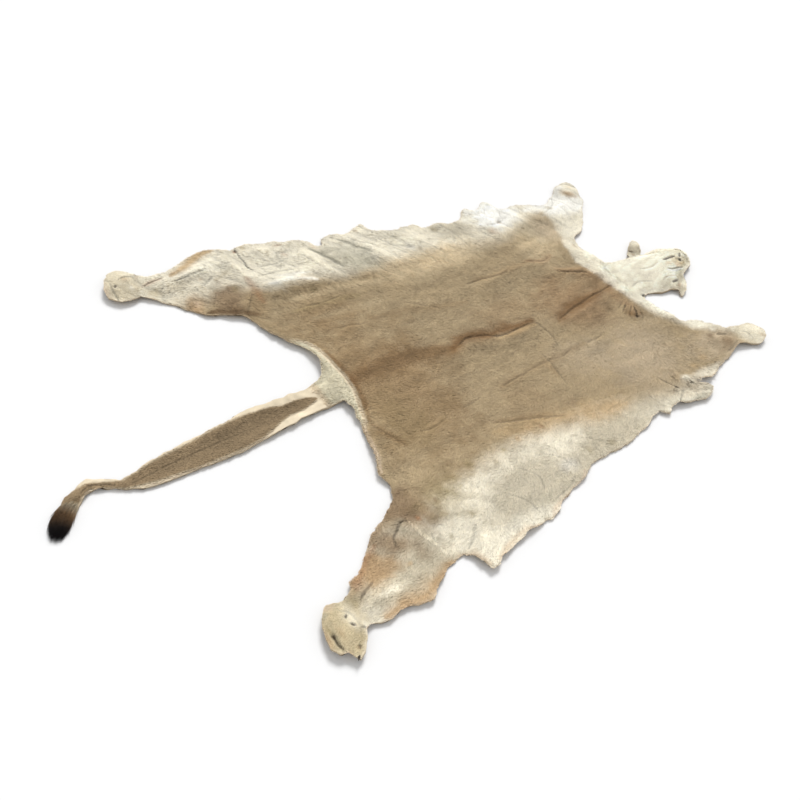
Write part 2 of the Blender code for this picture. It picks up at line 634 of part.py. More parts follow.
def grow_locks(shape):
    """Draws the faces of each step forward into tapering locks of three or four sides."""
    grown = [face for face in shape.faces if face.normal.x > LOOKS_FORWARD]
    for stage in LOCK_STAGES:
        grown = bmesh.ops.extrude_discrete_faces(shape, faces=grown)["faces"]
        for face in grown:
            middle = face.calc_center_median()
            place = Vector((0.0, middle.y, middle.z)) * LOCKS_ACROSS
            draw = LOCK_LENGTH * stage.share * (1.0 + LOCK_UNEVENNESS * noise.noise(place))
            for vertex in face.verts:
                vertex.co = middle + (vertex.co - middle) * stage.taper
                vertex.co.x += draw


def lay_down(shape):
    """Swells the brush to its outline and lays it on the floor, flatter below than above."""
    along = [row.along for row in TUFT_OUTLINE]
    half_width = [row.half_width for row in TUFT_OUTLINE]
    for vertex in shape.verts:
        reach = np.interp(vertex.co.x, along, half_width)
        flatness = TUFT_RISE if vertex.co.z > 0 else TUFT_DEPTH
        vertex.co.y *= reach
        vertex.co.z = reach * (TUFT_DEPTH + flatness * vertex.co.z)


def make_tuft(group):
    """The dark brush at the tail's end, locks fused to a core that meets the tail's cut end."""
    shape = bmesh.new()
    tuft_core(shape)
    grow_locks(shape)
    lay_down(shape)
    along = Vector((TUFT_TIP.x - TAIL_END.x, TUFT_TIP.y - TAIL_END.y, 0.0)).normalized()
    turn = Matrix.Rotation(math.atan2(along.y, along.x), 3, "Z")
    bmesh.ops.rotate(shape, verts=shape.verts, cent=(0, 0, 0), matrix=turn)
    start = Vector((TAIL_END.x, TAIL_END.y, 0.0)) + along * PIECE_GAP
    bmesh.ops.translate(shape, verts=shape.verts, vec=start)
    mesh = bpy.data.meshes.new("tail_tuft")
    shape.to_mesh(mesh)
    shape.free()
    mesh.materials.append(material_named("black-brown hair", TUFT_COLOUR, 0.7))
    tuft = bpy.data.objects.new("tail_tuft", mesh)
    group.objects.link(tuft)
    return tuft


def stand_on_origin(pieces):
    """Moves the pieces together so that the middle of their box stands on the origin."""
    places = [vertex.co for piece in pieces for vertex in piece.data.vertices]
    low = Vector([min(place[axis] for place in places) for axis in range(3)])
    high = Vector([max(place[axis] for place in places) for axis in range(3)])
    for piece in pieces:
        piece.data.transform(Matrix.Translation((-(low.x + high.x) / 2, -(low.y + high.y) / 2, -low.z)))


def main():
    clear_scene()
    group = collection_named("lioness skin")
    stand_on_origin([make_pelt(group), make_tuft(group)])


main()
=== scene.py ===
"""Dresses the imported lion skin: hide, coat of short fur, claw, tail brush and a plain studio.

Places in the tables are in metres and count from the root of the tail: x towards the animal's right, y
along the spine towards the nose. Colours, creases and cuts are placed where they hide the floor from an
eye at EYE, so one on a raised fold counts as lying a little beyond it. NAPS, COATS, BANDS and BRUSH_PATH
hold plain plan places.
"""

import math
from collections import namedtuple

import bmesh
import bpy
import numpy as np
from bpy.props import FloatProperty, FloatVectorProperty, IntProperty, PointerProperty
from bpy.types import Operator, Panel, PropertyGroup
from mathutils import Matrix, Vector, noise
from mathutils.bvhtree import BVHTree


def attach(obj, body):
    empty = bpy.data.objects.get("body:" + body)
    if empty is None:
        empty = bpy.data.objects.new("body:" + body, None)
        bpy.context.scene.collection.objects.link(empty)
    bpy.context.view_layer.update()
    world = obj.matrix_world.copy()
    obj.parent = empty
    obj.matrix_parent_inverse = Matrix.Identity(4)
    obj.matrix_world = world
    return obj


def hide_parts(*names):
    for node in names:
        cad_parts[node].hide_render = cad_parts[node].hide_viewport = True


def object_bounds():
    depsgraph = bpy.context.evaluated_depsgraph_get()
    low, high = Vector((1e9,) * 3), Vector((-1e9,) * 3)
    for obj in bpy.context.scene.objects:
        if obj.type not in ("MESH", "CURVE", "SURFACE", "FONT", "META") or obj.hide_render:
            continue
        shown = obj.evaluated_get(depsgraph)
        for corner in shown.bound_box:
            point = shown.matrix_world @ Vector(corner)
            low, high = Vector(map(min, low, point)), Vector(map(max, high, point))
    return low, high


bl_info = {
    "name": "Lion Skin",
    "version": (1, 0, 0),
    "blender": (4, 5, 0),
    "location": "View3D > Sidebar > Lion Skin",
    "description": "Dresses a flat lion skin with hide, fur, claw and tail brush",
    "category": "Object",
}

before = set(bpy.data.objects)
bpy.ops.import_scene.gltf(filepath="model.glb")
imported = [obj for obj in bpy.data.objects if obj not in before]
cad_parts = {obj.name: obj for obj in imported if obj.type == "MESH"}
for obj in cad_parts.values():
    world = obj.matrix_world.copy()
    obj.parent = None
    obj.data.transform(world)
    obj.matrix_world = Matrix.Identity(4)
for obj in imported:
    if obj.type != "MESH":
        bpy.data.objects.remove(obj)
cad_low, cad_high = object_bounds()

BODY = "root"
TAIL_ROOT = np.array([0.0451, -0.3240])  # plan place of the tail's root in the part
EYE = np.array([1.553, -1.042, 1.861])  # counted from the tail's root

Place = namedtuple("Place", "x y")
Span = namedtuple("Span", "y left right soft")
Patch = namedtuple("Patch", "name colour x y across along turn strength soft", defaults=(1.0,))
Streak = namedtuple("Streak", "name colour width strength path")
Crease = namedtuple("Crease", "name width depth shade path")
Nap = namedtuple("Nap", "x y right ahead")
Coat = namedtuple("Coat", "name x y across along length")
Section = namedtuple("Section", "along half_width")
Band = namedtuple("Band", "name rear front")


def rows(kind, *values):
    return [kind(*value) for value in values]


# The tawny back between the pale flanks. Its colour gives way to theirs over the soft width.
BACK = rows(
    Span,
    (-0.45, -0.60, 0.50, 0.08),
    (-0.05, -0.62, 0.50, 0.06),
    (0.10, -0.575, 0.46, 0.04),
    (0.20, -0.555, 0.44, 0.05),
    (0.31, -0.520, 0.42, 0.05),
    (0.40, -0.520, 0.42, 0.05),
    (0.55, -0.480, 0.43, 0.07),
    (0.70, -0.470, 0.46, 0.08),
    (0.85, -0.460, 0.47, 0.07),
    (1.00, -0.455, 0.49, 0.06),
    (1.10, -0.480, 0.50, 0.05),
    (1.18, -0.520, 0.49, 0.04),
    (1.30, -0.540, 0.48, 0.04),
)
# Where the brown ends and the pale neck and forelegs begin.
BACK_FRONT = rows(
    Place,
    (-0.60, 1.20),
    (-0.53, 1.27),
    (-0.33, 1.20),
    (-0.20, 1.16),
    (-0.03, 1.175),
    (0.07, 1.195),
    (0.16, 1.21),
    (0.30, 1.30),
    (0.42, 1.42),
    (0.60, 1.42),
)
# The rolled lip over the tail's root. Brown fur ends there.
RUMP = rows(
    Place,
    (-0.320, -0.040),
    (-0.294, -0.007),
    (-0.263, 0.017),
    (-0.224, 0.032),
    (-0.178, 0.038),
    (-0.123, 0.040),
    (-0.069, 0.044),
    (-0.014, 0.040),
    (0.032, 0.028),
    (0.087, 0.009),
    (0.118, 0.001),
    (0.164, -0.014),
)

# Large areas of the coat, each laid over those before it.
AREAS = rows(
    Patch,
    ("loins", "loin", 0.00, 0.14, 0.50, 0.28, 0, 0.90, 0.7),
    ("loins, right", "olive", 0.20, 0.10, 0.20, 0.14, 0, 0.25, 0.9),
    ("loins, left", "loin", -0.40, 0.16, 0.16, 0.22, 0, 0.50, 0.9),
    ("shoulder, right", "shoulder", 0.30, 1.02, 0.22, 0.26, 0, 0.85, 0.8),
    ("back, right, light", "shoulder", 0.22, 0.80, 0.14, 0.16, 0, 0.45, 0.9),
    ("back, right, low", "loin", 0.30, 0.50, 0.14, 0.14, 0, 0.35, 0.9),
    ("shoulder, left", "flank", -0.36, 1.10, 0.17, 0.15, 0, 0.70, 0.9),
    ("between the shoulders", "rosy", -0.03, 1.00, 0.22, 0.22, 0, 0.70, 0.8),
    ("beside the spine, left", "rosy", -0.10, 0.74, 0.10, 0.20, 0, 0.35, 0.9),
    ("flank, left", "flank", -0.46, 0.66, 0.13, 0.36, 0, 0.85, 0.9),
    ("flank, left, shade", "grey_and_fold_shade", -0.60, 0.40, 0.14, 0.10, -20, 0.75, 0.8),
    ("flank, left, middle", "cream", -0.68, 0.46, 0.12, 0.14, 0, 0.30, 0.8),
    ("flank, left, upper", "cream", -0.58, 0.62, 0.10, 0.14, 0, 0.35, 0.8),
    ("flank, left, rear", "cream", -0.66, 0.13, 0.15, 0.17, 0, 0.50, 0.8),
    ("flank, left, front", "white", -0.62, 1.06, 0.14, 0.16, 0, 0.95, 0.5),
    ("flank, left, fore end", "belly", -0.56, 0.86, 0.10, 0.10, 0, 0.60, 0.8),
    ("foreleg, left", "white", -0.56, 1.36, 0.12, 0.20, 30, 0.90, 0.6),
    ("shoulder, left, front", "belly", -0.45, 1.17, 0.15, 0.13, 0, 0.55, 0.9),
    ("foreleg, left, root", "shoulder", -0.42, 1.19, 0.14, 0.08, 15, 0.70, 0.8),
    ("neck", "cream", -0.04, 1.28, 0.30, 0.10, 0, 1.00, 0.5),
    ("head", "cream", 0.00, 1.46, 0.20, 0.24, 0, 1.00, 0.4),
    ("foreleg, right", "shoulder", 0.39, 1.29, 0.10, 0.15, 0, 0.90, 0.6),
    ("foreleg, right, outer", "cream", 0.478, 1.14, 0.035, 0.13, 0, 0.55, 0.8),
    ("foreleg, right, inner", "cream", 0.27, 1.30, 0.05, 0.08, 40, 0.75, 0.7),
    ("forepaw, right, yellow", "paw", 0.425, 1.465, 0.09, 0.095, 0, 0.60, 0.4),
    ("forepaw, right", "cream", 0.425, 1.465, 0.08, 0.085, 0, 0.60, 0.5),
    ("belly, right", "belly", 0.60, 0.34, 0.18, 0.34, 0, 0.80, 0.7),
    ("belly, right, fringe", "cream", 0.68, 0.22, 0.06, 0.24, 0, 0.60, 0.8),
    ("belly, right, fore", "belly", 0.54, 0.68, 0.12, 0.24, 0, 0.90, 0.7),
    ("flank edge, right", "orange", 0.44, 0.70, 0.07, 0.16, 0, 0.55, 0.9),
    ("thigh, left", "taupe", -0.585, -0.115, 0.13, 0.085, 15, 0.90, 0.7),
    ("thigh, left, inner", "loin", -0.50, -0.04, 0.12, 0.06, 20, 0.60, 0.9),
    ("shin, left", "tan", -0.60, -0.225, 0.09, 0.05, 25, 0.85, 0.8),
    ("leg, left, outer", "cream", -0.78, -0.12, 0.06, 0.14, 0, 0.60, 0.8),
    ("leg, left, middle", "belly", -0.72, -0.24, 0.06, 0.10, 0, 0.60, 0.8),
    ("ankle, left", "paw", -0.72, -0.32, 0.05, 0.04, 0, 0.50, 0.9),
    ("paw, left", "paw", -0.81, -0.41, 0.12, 0.08, 0, 0.35, 0.4),
    ("paw, left, rim", "pink", -0.80, -0.46, 0.10, 0.020, 8, 0.50, 0.9),
    ("thigh, right", "taupe", 0.47, -0.06, 0.13, 0.10, -20, 0.90, 0.8),
    ("hip, right", "olive", 0.47, 0.05, 0.12, 0.13, 0, 0.65, 0.9),
    ("leg, right", "belly", 0.64, -0.20, 0.17, 0.20, 0, 0.90, 0.4),
    ("leg, right, inner", "taupe", 0.53, -0.18, 0.07, 0.11, 30, 0.85, 0.9),
    ("leg, right, middle", "belly", 0.64, -0.13, 0.07, 0.13, 0, 0.75, 0.8),
    ("leg, right, inner edge", "tan", 0.575, -0.26, 0.055, 0.12, 25, 0.85, 0.7),
    ("leg, right, ankle", "taupe", 0.625, -0.32, 0.035, 0.030, 25, 0.50, 0.9),
    ("leg, right, low", "tan", 0.60, -0.27, 0.07, 0.07, 20, 0.90, 0.9),
    ("leg, right, shin", "cream", 0.658, -0.245, 0.022, 0.07, 0, 0.60, 0.9),
    ("paw, right", "paw", 0.70, -0.42, 0.11, 0.08, 0, 0.85, 0.4),
    ("paw, right, top", "cream", 0.68, -0.375, 0.05, 0.022, 0, 0.50, 0.9),
    ("paw, right, rim", "pink", 0.622, -0.42, 0.016, 0.03, 0, 0.50, 0.9),
    ("muzzle", "paw", -0.03, 1.545, 0.06, 0.05, 0, 0.60, 0.9),
    ("crown", "belly", 0.00, 1.37, 0.09, 0.07, 0, 0.15, 0.9),
    ("ear, right", "belly", 0.105, 1.410, 0.036, 0.056, 0, 0.85, 0.6),
    ("ear, left", "belly", -0.165, 1.435, 0.050, 0.060, 0, 0.90, 0.7),
)

# Stains, spots and small patches. They fade from their middle to their edge.
MARKS = rows(
    Patch,
    ("thigh, left, dark", "umber", -0.520, -0.115, 0.060, 0.060, 20, 0.70),
    ("thigh, right, dark", "umber", 0.470, -0.085, 0.055, 0.050, -20, 0.35),
    ("leg, right, dark", "taupe", 0.600, -0.120, 0.045, 0.040, 25, 0.50),
    ("hip edge, left", "rust", -0.817, 0.026, 0.016, 0.012, 0, 0.80),
    ("flap corner, left", "paw", -0.826, 0.060, 0.022, 0.018, 0, 0.60),
    ("thigh, left, green", "olive", -0.624, -0.065, 0.040, 0.018, 20, 0.55),
    ("thigh, left, grey", "grey_and_fold_shade", -0.655, -0.135, 0.030, 0.040, 0, 0.35),
    # Painted shade at the end of the thigh's crack.
    ("thigh, left, end of crack", "umber", -0.486, -0.086, 0.022, 0.014, 30, 0.80),
    ("shin, left, pink", "pink", -0.605, -0.215, 0.035, 0.018, 0, 0.45),
    ("shin, left, edge", "umber", -0.589, -0.243, 0.016, 0.010, 30, 0.65),
    ("shin, left, edge", "umber", -0.642, -0.298, 0.016, 0.010, 30, 0.50),
    ("shin, left, edge", "umber", -0.540, -0.190, 0.014, 0.018, 0, 0.60),
    ("paw, left, shade", "tan", -0.840, -0.380, 0.026, 0.022, 0, 0.45),
    ("paw, left, shade", "tan", -0.830, -0.340, 0.020, 0.012, 0, 0.40),
    ("paw, left, white", "white", -0.780, -0.375, 0.020, 0.012, 0, 0.40),
    ("leg, left, spot", "tan", -0.720, -0.150, 0.020, 0.014, 30, 0.45),
    ("leg, left, spot", "grey_and_fold_shade", -0.800, -0.010, 0.035, 0.022, 0, 0.40),
    ("flank, left, red", "rust", -0.787, 0.187, 0.012, 0.035, 0, 0.50),
    ("flank, left, green", "olive", -0.767, 0.132, 0.018, 0.014, 0, 0.45),
    ("flank, left, pink", "pink", -0.729, 0.180, 0.030, 0.020, 0, 0.55),
    ("flank, left, pink rim", "pink", -0.722, 0.300, 0.040, 0.010, -20, 0.60),
    ("flank, left, brown", "loin", -0.743, 0.497, 0.022, 0.018, 0, 0.70),
    ("flank, left, brown", "back", -0.464, 0.452, 0.035, 0.028, 0, 0.60),
    ("flank, left, brown", "back", -0.429, 0.435, 0.030, 0.022, 0, 0.50),
    ("flank, left, olive", "olive", -0.498, 0.173, 0.030, 0.030, 0, 0.45),
    ("flank, left, olive", "olive", -0.623, 0.780, 0.032, 0.028, 0, 0.65),
    ("flank, left, grey", "grey_and_fold_shade", -0.643, 0.607, 0.030, 0.030, 0, 0.50),
    ("flank, left, pale", "white", -0.563, 0.633, 0.040, 0.030, 0, 0.45),
    ("flank, left, pink", "pink", -0.510, 0.987, 0.035, 0.030, 0, 0.60),
    ("flank, left, dark", "taupe", -0.547, 1.047, 0.018, 0.014, 0, 0.50),
    ("flank, left, dot", "umber", -0.470, 1.110, 0.010, 0.008, 0, 0.70),
    ("foreleg, left, olive", "olive", -0.545, 1.305, 0.020, 0.026, 30, 0.55),
    ("foreleg, left, grey", "grey_and_fold_shade", -0.440, 1.365, 0.035, 0.016, 40, 0.50),
    ("forepaw, left, brown", "tan", -0.599, 1.458, 0.055, 0.038, -20, 0.95),
    ("forepaw, left, tip", "flank", -0.636, 1.503, 0.024, 0.018, 0, 0.50),
    ("neck edge, left", "loin", -0.285, 1.225, 0.030, 0.014, 0, 0.60),
    ("rear thigh, right", "taupe", 0.440, -0.110, 0.020, 0.055, -30, 0.75),
    ("hip spot", "olive", 0.410, 0.176, 0.026, 0.022, 0, 0.65),
    ("hip spot", "olive", 0.445, 0.255, 0.016, 0.012, 0, 0.50),
    ("hip spot", "olive", 0.470, 0.105, 0.016, 0.018, 0, 0.50),
    ("hip spot", "olive", 0.465, 0.062, 0.018, 0.014, 0, 0.60),
    ("hip spot", "olive", 0.565, 0.076, 0.016, 0.014, 0, 0.50),
    ("hip spot", "taupe", 0.472, 0.012, 0.016, 0.012, 0, 0.60),
    ("hip spot", "taupe", 0.419, -0.013, 0.016, 0.012, 0, 0.55),
    ("hip spot", "rust", 0.504, -0.066, 0.014, 0.012, 0, 0.75),
    ("hip spot", "olive", 0.597, -0.020, 0.018, 0.014, 0, 0.50),
    ("leg spot", "tan", 0.614, -0.166, 0.014, 0.014, 0, 0.70),
    ("leg spot", "tan", 0.560, -0.245, 0.045, 0.016, 40, 0.60),
    ("leg spot", "tan", 0.604, -0.280, 0.020, 0.014, 0, 0.60),
    ("leg spot", "grey_and_fold_shade", 0.520, -0.125, 0.022, 0.022, 0, 0.40),
    ("leg spot", "tan", 0.700, -0.120, 0.016, 0.014, 0, 0.45),
    ("paw, right, brown", "tan", 0.750, -0.408, 0.014, 0.010, 0, 0.65),
    ("toes, right", "tan", 0.700, -0.462, 0.050, 0.016, 5, 0.70),
    ("toe, right, end", "tan", 0.758, -0.436, 0.028, 0.012, 20, 0.80),
    ("toe, right, green", "olive", 0.680, -0.448, 0.022, 0.009, 0, 0.60),
    ("paw, right, heel", "cream", 0.670, -0.385, 0.060, 0.030, 0, 0.45),
    ("paw, right, grey", "grey_and_fold_shade", 0.636, -0.440, 0.014, 0.018, 0, 0.50),
    ("paw, right, shade", "tan", 0.700, -0.425, 0.040, 0.012, -5, 0.40),
    ("flank, right, spot", "tan", 0.407, 0.370, 0.020, 0.016, 0, 0.65),
    ("flank, right, spot", "olive", 0.421, 0.303, 0.018, 0.016, 0, 0.60),
    ("flank, right, spot", "rust", 0.403, 0.467, 0.014, 0.014, 0, 0.40),
    ("flank, right, spot", "tan", 0.385, 0.430, 0.016, 0.022, 0, 0.45),
    ("flank, right, green", "olive", 0.680, 0.250, 0.012, 0.020, 0, 0.45),
    ("flank, right, green", "olive", 0.548, 0.534, 0.022, 0.018, 0, 0.40),
    ("flank, right, green", "olive", 0.559, 0.623, 0.018, 0.018, 0, 0.40),
    ("flank, right, grey", "grey_and_fold_shade", 0.620, 0.310, 0.030, 0.060, -20, 0.45),
    ("flank, right, cream", "white", 0.560, 0.440, 0.040, 0.050, 0, 0.35),
    ("back, cross band", "loin", 0.215, 0.672, 0.085, 0.022, 5, 0.50),
    ("shoulder, right, orange", "orange", 0.416, 1.188, 0.022, 0.030, 0, 0.55),
    ("shoulder, right, orange", "orange", 0.431, 1.122, 0.020, 0.024, 0, 0.50),
    ("flap, cream", "cream", 0.460, 1.055, 0.022, 0.028, 40, 0.75),
    ("flap rim", "grey_and_fold_shade", 0.550, 1.030, 0.012, 0.060, 0, 0.60),
    ("foreleg, right, dark", "umber", 0.350, 1.298, 0.020, 0.026, 0, 0.60),
    ("foreleg, right, dark", "taupe", 0.398, 1.340, 0.034, 0.060, 0, 0.85),
    ("foreleg, right, pale", "cream", 0.330, 1.335, 0.018, 0.020, 0, 0.70),
    ("forepaw, right, mark", "grey_and_fold_shade", 0.365, 1.489, 0.010, 0.010, 0, 0.60),
    ("forepaw, right, tan", "tan", 0.440, 1.490, 0.022, 0.014, 0, 0.40),
    ("pucker, brown", "stripe", 0.122, 1.132, 0.045, 0.040, -35, 0.75),
    ("neck shade, right", "grey_and_fold_shade", 0.083, 1.320, 0.018, 0.075, 0, 0.55),
    ("ear, right, tip", "grey_and_fold_shade", 0.132, 1.380, 0.012, 0.014, 0, 0.60),
    ("ear, right, stripe", "tan", 0.085, 1.430, 0.012, 0.035, -35, 0.70),
    ("ear, left, dark", "taupe", -0.162, 1.413, 0.018, 0.014, 0, 0.70),
    ("ear, left, tan", "tan", -0.140, 1.405, 0.014, 0.012, 0, 0.60),
    ("nose", "grey_and_fold_shade", -0.045, 1.580, 0.025, 0.014, 0, 0.50),
    ("muzzle lobe", "pink", -0.012, 1.525, 0.022, 0.028, 0, 0.60),
    ("brow", "tan", -0.035, 1.500, 0.024, 0.030, 0, 0.30),
)

STREAKS = rows(
    Streak,
    ("spine, rear", "stripe", 0.042, 0.95, ((-0.04, 0.05), (-0.05, 0.15), (-0.05, 0.30), (-0.01, 0.43))),
    (
        "leg, right, front line", "umber", 0.010, 0.50,
        ((0.40, -0.06), (0.425, -0.10), (0.46, -0.15), (0.49, -0.20)),
    ),
    (
        "leg, right, shin line", "rust", 0.014, 0.45,
        ((0.52, -0.22), (0.555, -0.27), (0.59, -0.31), (0.62, -0.35)),
    ),
    # Darker along the fold: partly the fur's own colour, partly painted shade in the fold.
    (
        "left fold, front", "loin", 0.018, 0.50,
        ((-0.29, 1.00), (-0.285, 0.93), (-0.28, 0.84), (-0.285, 0.72)),
    ),
    ("left fold, rear", "loin", 0.022, 0.40, ((-0.27, 0.28), (-0.26, 0.40), (-0.22, 0.52), (-0.20, 0.62))),
    ("left fold, loin", "olive", 0.020, 0.35, ((-0.42, 0.06), (-0.42, 0.18), (-0.40, 0.30))),
    # Paler along the ridge: partly the fur's own colour, partly a painted highlight on the lit ridge.
    (
        "left ridge, loin", "flank", 0.022, 0.45,
        ((-0.48, 0.08), (-0.475, 0.20), (-0.46, 0.33), (-0.44, 0.42)),
    ),
    # Paler along the ridge: partly the fur's own colour, partly a painted highlight on the lit ridge.
    ("left ridge, mid", "flank", 0.020, 0.30, ((-0.36, 0.10), (-0.35, 0.22), (-0.34, 0.36))),
    # Darker along the fold: partly the fur's own colour, partly painted shade in the fold.
    ("right fold, mid", "loin", 0.018, 0.40, ((0.205, 0.47), (0.19, 0.58), (0.18, 0.72), (0.172, 0.86))),
    (
        "spine, rear, core", "umber", 0.028, 0.45,
        ((-0.045, 0.09), (-0.05, 0.20), (-0.05, 0.30), (-0.02, 0.41)),
    ),
    ("spine, rear, shade", "loin", 0.085, 0.50, ((-0.02, 0.05), (-0.02, 0.25), (-0.01, 0.45))),
    ("spine, middle", "stripe", 0.032, 0.85, ((-0.02, 0.44), (-0.045, 0.50), (-0.02, 0.60), (-0.01, 0.77))),
    ("spine, front", "stripe", 0.030, 0.70, ((0.03, 0.87), (0.00, 0.95), (-0.01, 1.05), (-0.03, 1.17))),
    ("neck shade", "rosy", 0.030, 0.60, ((-0.20, 1.06), (-0.13, 1.155), (-0.02, 1.150), (0.14, 1.165))),
    # Darker along the fold: partly the fur's own colour, partly painted shade in the fold.
    ("flank fold, right", "loin", 0.016, 0.55, ((0.32, 0.35), (0.34, 0.42), (0.38, 0.52), (0.40, 0.57))),
    ("flank edge, right", "orange", 0.040, 0.50, ((0.35, 0.33), (0.39, 0.45), (0.41, 0.60), (0.45, 0.78))),
    ("flank edge, left", "orange", 0.030, 0.20, ((-0.50, 0.38), (-0.48, 0.52), (-0.46, 0.64))),
    (
        "hock edge, left", "umber", 0.018, 0.75,
        ((-0.46, -0.06), (-0.50, -0.11), (-0.53, -0.16), (-0.54, -0.20)),
    ),
    ("hip band, left", "rust", 0.016, 0.40, ((-0.66, -0.005), (-0.60, -0.006), (-0.51, -0.012))),
    (
        "leg rim, left", "orange", 0.020, 0.90,
        ((-0.86, -0.05), (-0.855, -0.10), (-0.82, -0.155), (-0.786, -0.23)),
    ),
    ("leg fold, left", "olive", 0.010, 0.35, ((-0.73, -0.04), (-0.71, -0.07), (-0.693, -0.107))),
    ("ankle, left", "rust", 0.009, 0.45, ((-0.786, -0.265), (-0.779, -0.313), (-0.772, -0.341))),
    # Paler along the ridge: partly the fur's own colour, partly a painted highlight on the lit ridge.
    (
        "flank rim, left, ridge", "white", 0.012, 0.60,
        ((-0.545, 0.215), (-0.575, 0.17), (-0.59, 0.12), (-0.594, 0.05)),
    ),
    # Paler along the ridge: partly the fur's own colour, partly a painted highlight on the lit ridge.
    ("flank, left, ridge", "white", 0.010, 0.50, ((-0.594, 0.214), (-0.608, 0.159), (-0.622, 0.104))),
    # Painted shade along the valley of the left flank's fold.
    (
        "flank, left, band", "grey_and_fold_shade", 0.016, 0.55,
        ((-0.718, 0.285), (-0.663, 0.315), (-0.608, 0.335), (-0.567, 0.35)),
    ),
    # Painted shade along the second valley of the left flank.
    ("flank, left, band", "grey_and_fold_shade", 0.014, 0.45, ((-0.746, 0.386), (-0.691, 0.428), (-0.60, 0.483))),
    (
        "leg edge, right", "taupe", 0.020, 0.65,
        ((0.40, -0.06), (0.445, -0.12), (0.472, -0.166), (0.51, -0.23)),
    ),
    (
        "leg rim, right", "tan", 0.028, 0.95,
        ((0.67, -0.07), (0.69, -0.12), (0.715, -0.19), (0.71, -0.26), (0.714, -0.30)),
    ),
    ("ankle, right", "paw", 0.020, 0.50, ((0.61, -0.34), (0.66, -0.36), (0.70, -0.35))),
    ("groin rim, right", "tan", 0.014, 0.45, ((0.72, 0.02), (0.68, 0.00), (0.66, -0.04))),
    ("flank rim, right", "pink", 0.008, 0.60, ((0.60, 0.47), (0.635, 0.42), (0.66, 0.31), (0.685, 0.27))),
    (
        "flank rim, right, rear", "tan", 0.010, 0.45,
        ((0.69, 0.22), (0.68, 0.17), (0.70, 0.10), (0.72, 0.05)),
    ),
    ("flank, right, shade", "taupe", 0.014, 0.35, ((0.347, 0.638), (0.384, 0.616))),
    ("rump shade", "stripe", 0.010, 0.50, ((-0.20, 0.052), (-0.06, 0.062), (0.04, 0.045), (0.13, 0.012))),
    ("rump diagonal", "stripe", 0.016, 0.35, ((0.149, 0.012), (0.211, 0.036), (0.266, 0.056))),
    (
        "rump rim, right", "pink", 0.008, 0.55,
        ((0.11, -0.010), (0.196, -0.028), (0.258, -0.040), (0.32, -0.066)),
    ),
    # Painted highlight: the lit lip beside the spine's crease, in a warm tone.
    ("spine lip", "orange", 0.010, 0.55, ((0.012, 0.60), (0.016, 0.68), (0.012, 0.77))),
    (
        "foreleg, left, white", "white", 0.030, 0.70,
        ((-0.65, 1.46), (-0.62, 1.38), (-0.58, 1.30), (-0.57, 1.20)),
    ),
    ("foreleg, right, brown", "taupe", 0.014, 0.50, ((0.401, 1.357), (0.423, 1.313), (0.43, 1.26))),
    ("shoulder, left, red", "rust", 0.016, 0.30, ((-0.281, 1.092), (-0.266, 1.039), (-0.296, 0.986))),
)
